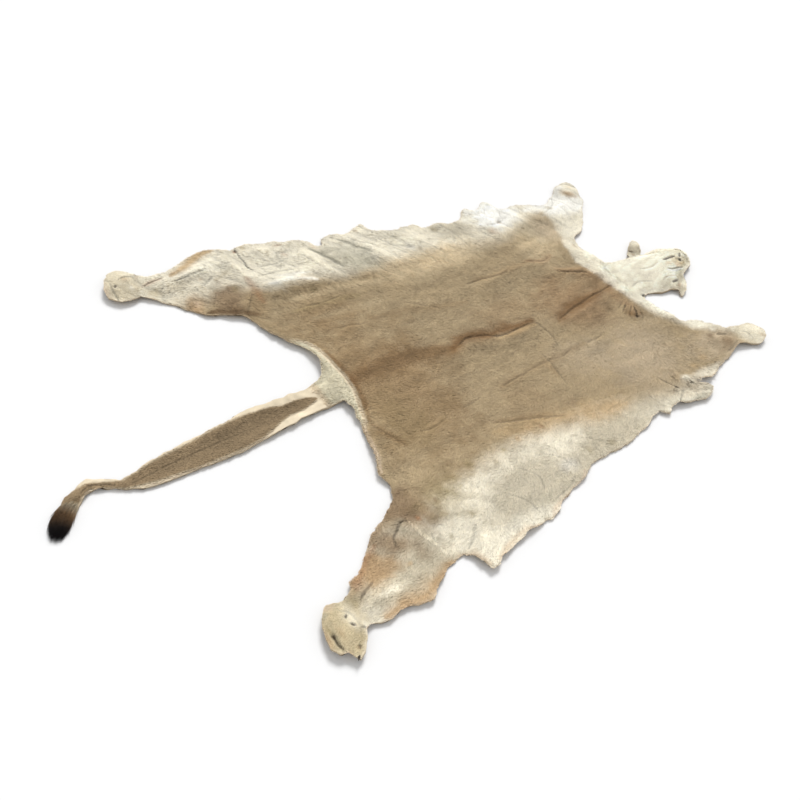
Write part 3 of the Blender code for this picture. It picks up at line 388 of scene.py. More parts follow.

# A ridge is a crease whose depth and shade are below nought.
# A ridge's shade below nought paints it lighter, as a painted highlight.
# Each crease is painted darker along it as shade and lighter beside it as a painted highlight on its lit
# lip.
CREASES = rows(
    Crease,
    (
        "spine", 0.009, 0.0024, 0.45,
        ((-0.022, 0.46), (-0.04, 0.51), (-0.02, 0.58), (0.003, 0.63), (0.00, 0.75)),
    ),
    (
        "spine, turn", 0.008, 0.0018, 0.28,
        ((0.00, 0.75), (0.006, 0.78), (0.05, 0.785), (0.09, 0.783), (0.14, 0.767)),
    ),
    (
        "spine, front", 0.009, 0.0022, 0.38,
        ((0.03, 0.87), (0.006, 0.95), (0.0, 0.99), (-0.018, 1.07), (-0.031, 1.17)),
    ),
    ("neck", 0.009, 0.0024, 0.50, ((-0.20, 1.05), (-0.18, 1.07), (-0.149, 1.133), (-0.127, 1.158))),
    ("fold, left", 0.010, 0.0020, 0.25, ((-0.28, 0.69), (-0.28, 0.75), (-0.274, 0.85), (-0.286, 0.89))),
    ("fold, left, front", 0.009, 0.0020, 0.25, ((-0.281, 1.092), (-0.266, 1.039), (-0.296, 0.986))),
    ("wrinkle, left", 0.008, 0.0016, 0.22, ((-0.228, 0.853), (-0.204, 0.829))),
    ("fold, right, front", 0.009, 0.0020, 0.25, ((0.161, 0.95), (0.17, 0.90), (0.173, 0.872))),
    (
        "fold, right", 0.009, 0.0020, 0.22,
        ((0.169, 0.80), (0.184, 0.74), (0.177, 0.686), (0.192, 0.553), (0.204, 0.476)),
    ),
    ("cross", 0.009, 0.0016, 0.20, ((0.138, 0.69), (0.184, 0.69), (0.231, 0.682), (0.293, 0.669))),
    ("wrinkle, middle", 0.006, 0.0016, 0.25, ((0.062, 0.745), (0.078, 0.728), (0.092, 0.722))),
    ("wrinkle, middle", 0.006, 0.0016, 0.25, ((0.09, 0.705), (0.102, 0.695), (0.114, 0.686))),
    ("wrinkle, middle", 0.006, 0.0014, 0.22, ((0.090, 0.615), (0.099, 0.600), (0.112, 0.592))),
    ("pucker, first", 0.005, 0.0030, 0.55, ((0.069, 1.164), (0.094, 1.126), (0.106, 1.108))),
    ("pucker, second", 0.005, 0.0030, 0.60, ((0.094, 1.164), (0.125, 1.126), (0.150, 1.114))),
    ("pucker, third", 0.006, 0.0035, 0.75, ((0.100, 1.172), (0.119, 1.161), (0.147, 1.142))),
    ("pucker, fourth", 0.004, 0.0025, 0.50, ((0.055, 1.158), (0.075, 1.125), (0.085, 1.105))),
    ("pucker, fifth", 0.004, 0.0025, 0.45, ((0.125, 1.178), (0.150, 1.165), (0.165, 1.150))),
    (
        "flank valley, left", 0.013, 0.0025, 0.30,
        ((-0.718, 0.276), (-0.663, 0.304), (-0.608, 0.324), (-0.567, 0.338)),
    ),
    (
        "flank, left, second", 0.010, 0.0020, 0.22,
        ((-0.746, 0.386), (-0.691, 0.428), (-0.643, 0.455), (-0.601, 0.483)),
    ),
    ("flank, left, third", 0.008, 0.0016, 0.18, ((-0.70, 0.235), (-0.66, 0.25), (-0.61, 0.265))),
    ("flank, left, fourth", 0.008, 0.0016, 0.18, ((-0.72, 0.445), (-0.68, 0.47), (-0.63, 0.52))),
    ("flank, left, fifth", 0.008, 0.0016, 0.18, ((-0.66, 0.55), (-0.61, 0.575), (-0.56, 0.60))),
    ("flank, left, sixth", 0.009, 0.0018, 0.22, ((-0.557, 0.827), (-0.51, 0.80))),
    ("edge, left", 0.007, 0.0020, 0.35, ((-0.746, 0.342), (-0.722, 0.324))),
    ("flank, left, rear", 0.008, 0.0018, 0.20, ((-0.70, 0.06), (-0.69, 0.12), (-0.70, 0.18))),
    ("flank, left, rear", 0.007, 0.0018, 0.18, ((-0.65, 0.05), (-0.645, 0.11), (-0.63, 0.17))),
    (
        "hip crack, left", 0.006, 0.0040, 0.80,
        ((-0.841, 0.038), (-0.817, 0.028), (-0.748, 0.028), (-0.713, 0.024), (-0.693, 0.035)),
    ),
    (
        "thigh crack, left", 0.006, 0.0030, 0.65,
        ((-0.575, -0.024), (-0.541, -0.048), (-0.506, -0.072), (-0.482, -0.09)),
    ),
    (
        "shin, left", 0.010, 0.0030, 0.40,
        ((-0.772, -0.107), (-0.765, -0.148), (-0.755, -0.196), (-0.751, -0.231)),
    ),
    ("shin fold, left", 0.009, 0.0025, 0.40, ((-0.72, -0.107), (-0.70, -0.134), (-0.682, -0.155))),
    ("ankle crease, left", 0.007, 0.0025, 0.35, ((-0.786, -0.265), (-0.779, -0.313), (-0.772, -0.341))),
    (
        "loin wrinkle, a", 0.008, 0.0018, 0.25,
        ((-0.429, 0.076), (-0.429, 0.118), (-0.422, 0.173), (-0.429, 0.242)),
    ),
    (
        "loin wrinkle, b", 0.008, 0.0018, 0.25,
        ((-0.279, 0.149), (-0.275, 0.196), (-0.263, 0.235), (-0.279, 0.258)),
    ),
    ("loin wrinkle, c", 0.008, 0.0016, 0.20, ((-0.30, 0.42), (-0.26, 0.47), (-0.21, 0.52))),
    ("loin wrinkle, d", 0.007, 0.0014, 0.20, ((0.207, 0.374), (0.215, 0.343), (0.219, 0.304))),
    (
        "hip wrinkle, right", 0.008, 0.0018, 0.25,
        ((0.215, 0.234), (0.234, 0.219), (0.246, 0.161), (0.238, 0.126)),
    ),
    ("rump wrinkle, right", 0.007, 0.0014, 0.20, ((0.141, 0.102), (0.164, 0.118))),
    ("rump diagonal", 0.010, 0.0018, 0.20, ((0.149, 0.009), (0.211, 0.036), (0.266, 0.056))),
    ("scratch", 0.004, -0.0008, -0.25, ((0.009, 0.367), (0.030, 0.340), (0.056, 0.312))),
    (
        "belly fold, right", 0.010, 0.0022, 0.28,
        ((0.317, 0.348), (0.339, 0.40), (0.369, 0.489), (0.399, 0.564)),
    ),
    ("belly line, right", 0.008, 0.0014, 0.16, ((0.45, 0.70), (0.44, 0.82))),
    ("belly crinkle", 0.006, 0.0016, 0.18, ((0.50, 0.30), (0.55, 0.33), (0.60, 0.31))),
    ("belly crinkle", 0.006, 0.0016, 0.18, ((0.49, 0.40), (0.53, 0.44), (0.58, 0.45))),
    ("belly crinkle", 0.006, 0.0016, 0.18, ((0.55, 0.20), (0.60, 0.24), (0.66, 0.25))),
    ("belly crinkle", 0.006, 0.0014, 0.16, ((0.50, 0.56), (0.54, 0.60), (0.57, 0.66))),
    ("belly rim, inner line", 0.005, 0.0018, 0.35, ((0.603, 0.425), (0.625, 0.385), (0.640, 0.318))),
    ("groin wrinkle", 0.009, 0.0020, 0.25, ((0.600, 0.062), (0.629, 0.033), (0.654, -0.002))),
    (
        "thigh, right", 0.007, 0.0030, 0.50,
        ((0.50, -0.088), (0.49, -0.109), (0.508, -0.137), (0.529, -0.163), (0.565, -0.166)),
    ),
    ("thigh line, right", 0.005, 0.0014, 0.30, ((0.560, -0.060), (0.572, -0.066), (0.585, -0.070))),
    (
        "thigh ridge, right", 0.008, -0.0018, -0.22,
        ((0.50, -0.095), (0.543, -0.088), (0.579, -0.077), (0.60, -0.07)),
    ),
    ("hock, right", 0.008, 0.0025, 0.45, ((0.614, -0.28), (0.629, -0.315), (0.643, -0.336))),
    ("flap, right", 0.007, 0.0025, 0.55, ((0.420, 0.968), (0.460, 0.983), (0.478, 0.994))),
    ("flap step", 0.007, 0.0022, 0.35, ((0.500, 1.00), (0.515, 0.98), (0.537, 0.95))),
    ("foreleg, right", 0.009, 0.0022, 0.35, ((0.357, 1.327), (0.372, 1.364))),
    ("foreleg, right, outer", 0.007, 0.0018, 0.25, ((0.415, 1.38), (0.432, 1.33), (0.445, 1.28))),
    ("forepaw, right", 0.006, 0.0018, 0.25, ((0.385, 1.43), (0.405, 1.445), (0.435, 1.44))),
    ("foreleg, left, wrinkle", 0.008, 0.0018, 0.25, ((-0.463, 1.19), (-0.451, 1.152))),
    ("shoulder lobe, left", 0.007, 0.0025, 0.35, ((-0.553, 1.076), (-0.546, 1.031), (-0.553, 1.001))),
    ("shoulder line, left", 0.006, 0.0020, 0.35, ((-0.602, 1.092), (-0.576, 1.076))),
    ("lobe crease, left", 0.007, 0.0018, 0.22, ((-0.65, 1.05), (-0.61, 1.03), (-0.58, 1.045))),
    ("foreleg crease, left", 0.007, 0.0018, 0.20, ((-0.60, 1.37), (-0.55, 1.33), (-0.52, 1.26))),
    (
        "tail middle", 0.006, 0.0012, 0.32,
        ((-0.005, -0.34), (0.004, -0.50), (0.012, -0.60), (0.022, -0.668), (0.028, -0.716)),
    ),
    (
        "tail twist", 0.005, 0.0020, 0.55,
        ((0.008, -0.725), (-0.016, -0.765), (-0.022, -0.79), (-0.010, -0.815)),
    ),
    (
        "paw ring, right", 0.006, 0.0010, 0.18,
        ((0.640, -0.40), (0.660, -0.380), (0.700, -0.374), (0.730, -0.388)),
    ),
    (
        "paw crease, right", 0.006, 0.0014, 0.25,
        ((0.652, -0.430), (0.675, -0.438), (0.70, -0.446), (0.742, -0.442)),
    ),
    ("paw crease, left", 0.007, 0.0025, 0.40, ((-0.835, -0.432), (-0.782, -0.438), (-0.734, -0.438))),
    ("paw ring, left", 0.008, 0.0020, 0.22, ((-0.837, -0.350), (-0.850, -0.375), (-0.844, -0.396))),
    (
        "mouth, right", 0.009, 0.0030, 0.70,
        ((0.008, 1.530), (0.004, 1.513), (0.000, 1.488), (-0.012, 1.469)),
    ),
    ("cheek, right", 0.008, 0.0020, 0.22, ((0.040, 1.47), (0.025, 1.43), (0.035, 1.39))),
    ("crown fold", 0.009, 0.0020, 0.22, ((-0.06, 1.46), (-0.05, 1.41), (-0.06, 1.36))),
    ("nape fold", 0.009, 0.0018, 0.18, ((0.02, 1.35), (0.00, 1.30), (0.01, 1.25))),
)

# Cuts are bare of fur, and the hide in them is painted near-black as shade in the slits, pits and holes.
CUTS = rows(
    Crease,
    ("eye, right", 0.0065, 0.0040, 0.90, ((-0.059, 1.556), (-0.062, 1.519), (-0.062, 1.494))),
    ("nose line", 0.0050, 0.0020, 0.75, ((-0.065, 1.591), (-0.046, 1.569))),
    ("nostril", 0.0130, 0.0040, 1.00, ((-0.034, 1.559), (-0.028, 1.553))),
    ("ear slit, right", 0.0065, 0.0030, 0.85, ((0.056, 1.451), (0.060, 1.419))),
    ("ear slit, left", 0.0050, 0.0030, 0.60, ((-0.166, 1.405), (-0.156, 1.418))),
    ("neck hole", 0.0080, 0.0030, 0.90, ((0.066, 1.256), (0.072, 1.246))),
    ("pucker pit", 0.0100, 0.0030, 0.90, ((0.143, 1.146), (0.151, 1.138))),
    ("armpit hole, inner", 0.0050, 0.0030, 0.90, ((0.474, 0.990), (0.482, 0.994))),
    ("armpit hole, outer", 0.0045, 0.0030, 0.85, ((0.485, 1.052), (0.489, 1.060))),
    ("paw slit, right, a", 0.0040, 0.0030, 0.85, ((0.660, -0.390), (0.668, -0.395))),
    ("paw slit, right, b", 0.0040, 0.0030, 0.85, ((0.686, -0.392), (0.696, -0.384))),
    ("paw slit, right, c", 0.0035, 0.0030, 0.60, ((0.706, -0.372), (0.713, -0.366))),
    ("toe pit, right", 0.0065, 0.0035, 0.90, ((0.693, -0.443), (0.700, -0.449))),
    ("crevice, right", 0.0050, 0.0025, 0.75, ((0.696, -0.445), (0.718, -0.447), (0.738, -0.443))),
    ("toe mark, right", 0.0050, 0.0020, 0.65, ((0.745, -0.402), (0.756, -0.407))),
    ("paw hole, left", 0.0055, 0.0035, 0.85, ((-0.820, -0.420), (-0.806, -0.424))),
    ("hip hole, left", 0.0050, 0.0030, 0.70, ((-0.825, 0.030), (-0.812, 0.028))),
)

# The tail's lips are bare. Fur grows only between these edges.
GROOVE = rows(
    Span,
    (-0.084, -0.034, -0.022, 0.004),
    (-0.104, -0.044, -0.014, 0.004),
    (-0.140, -0.051, -0.004, 0.004),
    (-0.188, -0.048, -0.002, 0.004),
    (-0.224, -0.060, 0.010, 0.005),
    (-0.260, -0.063, 0.028, 0.006),
    (-0.308, -0.068, 0.046, 0.008),
    (-0.360, -0.064, 0.054, 0.009),
    (-0.500, -0.042, 0.058, 0.009),
    (-0.620, -0.022, 0.050, 0.009),
    (-0.700, 0.000, 0.034, 0.007),
    (-0.740, -0.014, 0.012, 0.006),
    (-0.790, -0.036, -0.010, 0.006),
    (-0.820, -0.030, 0.010, 0.006),
    (-0.860, -0.020, 0.060, 0.006),
)
TAIL_ZONE = Span(-0.045, -0.13, 0.13, 0.03)  # the tail lies behind this line and between these sides
RUMP_REACH = 0.12  # how far behind the rump's lip the tail's pale root reaches

NAPS = rows(
    Nap,
    (0.00, 1.50, 0.0, -1.0),
    (0.00, 1.25, 0.0, -1.0),
    (0.00, 0.90, 0.0, -1.0),
    (0.00, 0.50, 0.0, -1.0),
    (0.00, 0.10, 0.0, -1.0),
    (0.32, 0.90, 0.4, -0.9),
    (-0.32, 0.90, -0.4, -0.9),
    (0.52, 0.80, 0.7, -0.7),
    (-0.60, 0.80, -0.7, -0.7),
    (0.62, 0.35, 0.7, -0.7),
    (-0.68, 0.40, -0.7, -0.7),
    (0.35, 0.30, 0.3, -0.95),
    (-0.35, 0.30, -0.3, -0.95),
    (0.55, -0.10, 0.5, -0.9),
    (0.66, -0.30, 0.3, -0.95),
    (-0.65, -0.10, -0.5, -0.9),
    (-0.76, -0.30, -0.2, -1.0),
    (0.42, 1.30, 0.2, 1.0),
    (0.42, 1.44, 0.1, 1.0),
    (-0.52, 1.30, -0.5, 0.9),
    (-0.60, 1.45, -0.6, 0.8),
    (0.42, 1.14, 0.9, 0.2),
    (-0.50, 1.14, -0.9, 0.2),
    (-0.02, -0.12, 0.0, -1.0),
    (0.02, -0.50, 0.0, -1.0),
    (0.00, -0.80, 0.3, -1.0),
)

# Share of the full lock length where the coat is shorter.
COATS = rows(
    Coat,
    ("head", 0.00, 1.42, 0.20, 0.26, 0.50),
    ("tail", 0.00, -0.48, 0.14, 0.48, 0.70),
    ("hind paw, right", 0.70, -0.42, 0.13, 0.10, 0.45),
    ("hind paw, left", -0.79, -0.41, 0.14, 0.10, 0.45),
    ("forepaw, right", 0.43, 1.43, 0.09, 0.12, 0.50),
    ("forepaw, left", -0.60, 1.44, 0.12, 0.12, 0.60),
)

# The coat is grown in bands across the skin, each its own piece.
BANDS = rows(
    Band,
    ("coat_hind_legs", -1.00, 0.00),
    ("coat_loins", 0.00, 0.28),
    ("coat_back", 0.28, 0.55),
    ("coat_withers", 0.55, 0.83),
    ("coat_shoulders", 0.83, 1.12),
    ("coat_head_and_forelegs", 1.12, 1.70),
)

# The brush's half width along its middle line, counted from the cut end of the tail.
BRUSH = rows(
    Section,
    (-0.040, 0.014),
    (-0.020, 0.018),
    (0.012, 0.024),
    (0.040, 0.027),
    (0.065, 0.027),
    (0.095, 0.017),
    (0.112, 0.010),
)
BRUSH_PATH = ((-0.030, -0.780), (-0.018, -0.810), (0.010, -0.838), (0.054, -0.884), (0.120, -0.925))
BRUSH_START = 0.094  # distance along the path from its first point to the tail's cut end

GRID_STEP = 0.003
GRID_MARGIN = 0.03
ABOVE = 1.0  # height from which rays look down at the hide
FLOOR_LEAST = 0.0020  # least height of the coat's base over the floor
WALL_LEAST = 0.0010  # least thickness of the hide over its underside
EDGE_BLUR = 0.006  # reach over which the skin's cover fades at its rim
OUTER_COVER = (0.05, 0.20)  # no lock grows under the first cover, and none is held back over the second
LEAST_COVER = 0.52  # cover from which locks grow
WALL_SLOPE = 0.05  # a face is a wall while its normal rises or falls less than this
UNDER_SLOPE = -0.9  # a face belongs to the underside when its normal's rise is below this
NAP_REACH = 0.05  # distance at which a nap's pull has fallen to a quarter
LOCK_MIDDLE = 0.42  # where a lock is widest, as a share of its length
LOCK_LEAST = 0.0006  # least height of a lock over the floor
# A lock's brightness is painted shade at its root and painted light at its tip.
LOCK_PAINTED_SHADING = (0.88, 1.0, 1.0, 1.08)  # brightness at a lock's root, its two sides and its tip
ROW_STEP = 0.866  # distance of the rows of locks against that of the locks in a row
BRUSH_FLOOR = 0.0012  # height from which the brush's strands are counted
BRUSH_TONES_AT = (-0.03, 0.03, 0.075)  # where the brush has its three colours, counted as in BRUSH
BRUSH_LAST_ROOT = 0.055  # the last place where a strand starts, counted as in BRUSH
BRUSH_WAVE = 0.0045  # spread of the strands' tips to either side
STRAND_TIP = 0.00005  # half width of a strand at its tip
RELIEF_DEPTH = 0.001
CLAW_TIP_RADIUS = 0.0004
CLAW_FLATNESS = 0.7
CLAW_BEND = 0.25  # how far the tip curves up, as a share of the length
CLAW_LEAST = 0.004  # least height of the claw's root
FLOOR_WIDTH = 30.0
FLOOR_DROP = 0.0005  # how far the floor lies below the skin
SENSOR_WIDTH = 36.0  # in millimetres
TINY = 1e-6


def metres(name, description, default):
    return FloatProperty(name=name, description=description, default=default, unit="LENGTH", precision=5)


def factor(name, description, default):
    return FloatProperty(name=name, description=description, default=default, subtype="FACTOR")


def angle(name, description, default):
    return FloatProperty(name=name, description=description, default=default, subtype="ANGLE")


def tone(name, description, *default):
    return FloatVectorProperty(name=name, description=description, default=default, subtype="COLOR")


class HideSettings(PropertyGroup):
    softness: metres("Softness", "How far the folds are smoothed", 0.007)
    drop: metres("Drop", "How far the hide lies below the coat's base", 0.001)
    cuts: IntProperty(name="Cuts", description="Cuts in each edge of the hide's top", default=5)
    pucker: metres("Pucker", "Height of the fine puckers of the dried skin", 0.0012)
    pucker_pitch: metres("Pucker pitch", "Distance between fine puckers", 0.024)
    crease_width: factor("Crease width", "Width of all creases against the table's", 0.75)
    crease_depth: factor("Crease depth", "Depth of all creases against the table's", 0.75)
    overhang: metres("Overhang", "How far the fur at the rim reaches past the hide", 0.003)
    wrinkle: metres("Wrinkle", "Depth of the fine wrinkles across the flanks", 0.0016)
    ragged: metres("Ragged rim", "How far the rim goes in and out", 0.004)
    flesh: tone("Flesh side", "Colour of the bare underside", 0.62, 0.50, 0.34)


class CoatSettings(PropertyGroup):
    spacing: metres("Spacing", "Distance between locks", 0.00265)
    length: metres("Length", "Length of a lock", 0.015)
    width: metres("Width", "Width of a lock", 0.0030)
    lift: metres("Lift", "Height of a lock's tip", 0.0026)
    stray: angle("Stray", "How far a lock turns off the nap", 0.25)
    drift: angle("Drift", "How far whole tufts turn off the nap", 0.9)
    mottle: factor("Mottle", "Difference in brightness between locks", 0.05)
    seed: IntProperty(name="Seed", description="Start of the coat's random numbers", default=11)


class CoatColours(PropertyGroup):
    back: tone("Back", "Tawny middle of the back", 0.43, 0.33, 0.195)
    loin: tone("Loin", "Darker fur over the loins", 0.355, 0.245, 0.127)
    stripe: tone("Stripe", "Dark line along the spine", 0.20, 0.10, 0.032)
    shoulder: tone("Shoulder", "Lighter fur on the shoulders", 0.545, 0.44, 0.30)
    rosy: tone("Rosy", "Reddish fur between the shoulders", 0.40, 0.26, 0.135)
    flank: tone("Flank", "Buff fur at the flank", 0.75, 0.61, 0.39)
    belly: tone("Belly", "Grey-cream fur of the belly", 0.565, 0.50, 0.37)
    cream: tone("Cream", "Pale fur of head and neck", 0.99, 0.94, 0.79)
    white: tone("White", "Palest fur of the left side", 0.97, 0.95, 0.88)
    taupe: tone("Taupe", "Grey-brown fur of the legs", 0.325, 0.23, 0.135)
    umber: tone("Umber", "Dark stains at the edges", 0.13, 0.075, 0.032)
    tan: tone("Tan", "Stained fur of the leg edges", 0.50, 0.345, 0.19)
    orange: tone("Orange", "Warm fur at the flank's edge", 0.57, 0.405, 0.215)
    rust: tone("Rust", "Reddish stains", 0.40, 0.20, 0.09)
    olive: tone("Olive", "Greenish brown spots", 0.34, 0.265, 0.13)
    paw: tone("Paw", "Yellowish fur of the paws", 0.57, 0.47, 0.28)
    # Grey tone of the fur, and painted shade in the folds of the flanks and along their edges.
    grey_and_fold_shade: tone("Grey", "Greyed fur in the folds of the flanks", 0.50, 0.465, 0.35)
    pink: tone("Pink", "Bare pinkish rims", 0.74, 0.60, 0.45)
    lip: tone("Lip", "Bare rolled lips of the tail", 0.70, 0.60, 0.44)
    root: tone("Root", "Pale root of the tail", 0.64, 0.585, 0.43)
    groove: tone("Groove", "Fur in the tail's groove", 0.29, 0.21, 0.12)
    # Painted shade: near-black laid in the slits, pits and holes of the cuts.
    cut: tone("Cut", "Dark hide in eyes, nostril and slits", 0.030, 0.020, 0.014)
    blotch: factor("Blotch", "Slow changes of brightness", 0.07)
    streaks: factor("Streaks", "Fine streaks along the nap", 0.09)
    rim: factor("Rim", "Pinkish light edge of the skin", 0.25)
    # Painted shade in the hollows and fine wrinkles, and painted light on the ridges.
    hollow_shade: factor("Hollow", "Darker fur in hollows, lighter on ridges", 0.10)


class BrushSettings(PropertyGroup):
    strands: IntProperty(name="Strands", description="Number of strands in the brush", default=1900)
    thickness: metres("Thickness", "Width of a strand at its root", 0.0013)
    length: metres("Length", "Length of a strand", 0.080)
    flatness: factor("Flatness", "Height of the brush against its width", 0.42)
    rings: IntProperty(name="Rings", description="Rings of points in a strand", default=5)
    root: tone("Root", "Colour where the brush starts", 0.64, 0.585, 0.43)
    middle: tone("Middle", "Colour halfway", 0.18, 0.10, 0.043)
    tip: tone("Tip", "Colour at the tip", 0.005, 0.003, 0.003)
    seed: IntProperty(name="Seed", description="Start of the brush's random numbers", default=5)


class ClawSettings(PropertyGroup):
    length: metres("Length", "Length of the claw", 0.016)
    thickness: metres("Thickness", "Width at its root", 0.008)
    place: FloatVectorProperty(
        name="Place", description="Plan place of its root", default=(0.784, -0.430), size=2, unit="LENGTH"
    )
    heading: angle("Heading", "Plan direction of its tip", math.radians(-40))
    colour: tone("Colour", "Dark horn", 0.030, 0.022, 0.016)


class StageSettings(PropertyGroup):
    place: FloatVectorProperty(
        name="Camera place", description="Counted from the tail's root", default=EYE.tolist(), unit="LENGTH"
    )
    heading: angle("Heading", "Turn of the view from +Y towards -X", math.radians(50.85))
    dip: angle("Dip", "How far the camera looks down", math.radians(44.8))
    roll: angle("Roll", "Turn of the camera about its view", math.radians(8.0))
    lens: FloatProperty(name="Lens", description="Focal length in millimetres", default=38.25)
    floor: tone("Floor", "Colour of the floor", 0.80, 0.80, 0.80)
    sun: FloatProperty(name="Sun", description="Strength of the one large light", default=2.6)
    spread: angle("Spread", "Width of the large light as seen from the skin", 0.40)
    sunward: FloatVectorProperty(
        name="Sunward",
        description="Direction of the large light",
        default=(-0.55, 0.50, 0.75),
        subtype="XYZ",
    )
    sky: FloatProperty(name="Sky", description="Strength of the light from all round", default=0.68)


class PlanGrid:
    """Squares over the skin's plan that hold a height, a colour or a share, read smoothly between."""

    def __init__(self):
        self.low = np.array(cad_low[:2]) - GRID_MARGIN
        size = np.array(cad_high[:2]) + GRID_MARGIN - self.low
        self.last = np.ceil(size / GRID_STEP)
        x, y = np.meshgrid(np.arange(self.last[0] + 1), np.arange(self.last[1] + 1))
        self.places = np.stack([x, y], axis=-1) * GRID_STEP + self.low
        self.plan = self.places - TAIL_ROOT

    def read(self, values, points):
        cell = np.clip((points - self.low) / GRID_STEP, 0, self.last - 0.001)
        corner = cell.astype(int)
        share = cell - corner
        i, j = corner[:, 0], corner[:, 1]
        if values.ndim == 3:
            share = share[:, :, None]
        near = values[j, i] * (1 - share[:, 0]) + values[j, i + 1] * share[:, 0]
        far = values[j + 1, i] * (1 - share[:, 0]) + values[j + 1, i + 1] * share[:, 0]
        return near * (1 - share[:, 1]) + far * share[:, 1]

    def noise(self, pitch, seed, ahead=(0.0, 1.0), stretch=1.0):
        """Smooth noise of that pitch, drawn out along a direction."""
        right, forward = np.array(ahead) / np.linalg.norm(ahead)
        along = (self.plan[..., 0] * right + self.plan[..., 1] * forward) / (pitch * stretch)
        across = (self.plan[..., 0] * forward - self.plan[..., 1] * right) / pitch
        pairs = zip(across.ravel().tolist(), along.ravel().tolist())
        values = np.array([noise.noise((x, y, seed)) for x, y in pairs])
        return values.reshape(along.shape)


def blurred(values, reach):
    """The values on the grid smoothed by a bell curve of that reach in metres."""
    cells = reach / GRID_STEP
    radius = math.ceil(3 * cells)
    weights = np.exp(-0.5 * (np.arange(-radius, radius + 1) / cells) ** 2)
    weights /= weights.sum()
    for axis in (0, 1):
        values = sum(w * np.roll(values, k - radius, axis=axis) for k, w in enumerate(weights))
    return values


def soft_step(value, low, high):
    t = np.clip((value - low) / (high - low), 0, 1)
    return t * t * (3 - 2 * t)


def smooth_path(path, step=0.002):
    """Points a step apart on a curve through the path's own points."""
    corners = np.array(path, float)
    padded = np.concatenate([corners[:1] * 2 - corners[1:2], corners, corners[-1:] * 2 - corners[-2:-1]])
    found = []
    for before, start, end, after in zip(padded, padded[1:], padded[2:], padded[3:]):
        t = np.linspace(0, 1, max(2, int(np.linalg.norm(end - start) / step)), endpoint=False)[:, None]
        found.append(
            0.5 * (2 * start + (end - before) * t + (2 * before - 5 * start + 4 * end - after) * t**2)
            + 0.5 * (3 * start - before - 3 * end + after) * t**3
        )
    return np.concatenate([*found, corners[-1:]])


def nearness(seen, path, width):
    """The window of squares near a path, and their distance to it as a share of the width there.

    The width runs out towards the path's ends.
    """
    line = smooth_path(path, max(0.0015, width / 4))
    beside = ((seen > line.min(0) - 3 * width) & (seen < line.max(0) + 3 * width)).all(axis=-1)
    down, over = (np.flatnonzero(beside.any(axis)) for axis in (1, 0))
    window = slice(down[0], down[-1] + 1), slice(over[0], over[-1] + 1)
    places = seen[window]
    gap = np.full(places.shape[:2], np.inf)
    along = np.zeros(places.shape[:2])
    for share, point in zip(np.linspace(0, 1, len(line)), line):
        reach = np.hypot(places[..., 0] - point[0], places[..., 1] - point[1])
        closer = reach < gap
        gap[closer] = reach[closer]
        along[closer] = share
    taper = 0.35 + 0.65 * np.sqrt(np.sin(math.pi * np.clip(along, 0.01, 0.99)))
    return window, gap / (width * taper)


def between(table, y, column):
    table = sorted(table, key=lambda row: row.y)
    return np.interp(y, [row.y for row in table], [getattr(row, column) for row in table])


def line_at(table, x):
    """The y of a table of places at each x."""
    return np.interp(x, [row.x for row in table], [row.y for row in table])


def span_share(table, seen, wander=0.0):
    """1 between the left and right edges of a table of spans, 0 beyond them, soft in between."""
    x, y = seen[..., 0] + wander, seen[..., 1]
    left, right, soft = (between(table, y, column) for column in ("left", "right", "soft"))
    return soft_step(x, left - soft, left + soft) * (1 - soft_step(x, right - soft, right + soft))


def patch_share(patch, seen, wander):
    turn = math.radians(patch.turn)
    x, y = seen[..., 0] - patch.x, seen[..., 1] - patch.y
    across = (x * math.cos(turn) - y * math.sin(turn)) / patch.across
    along = (x * math.sin(turn) + y * math.cos(turn)) / patch.along
    reach = np.hypot(across, along) + wander
    return patch.strength * soft_step(1 - reach, 0, patch.soft)


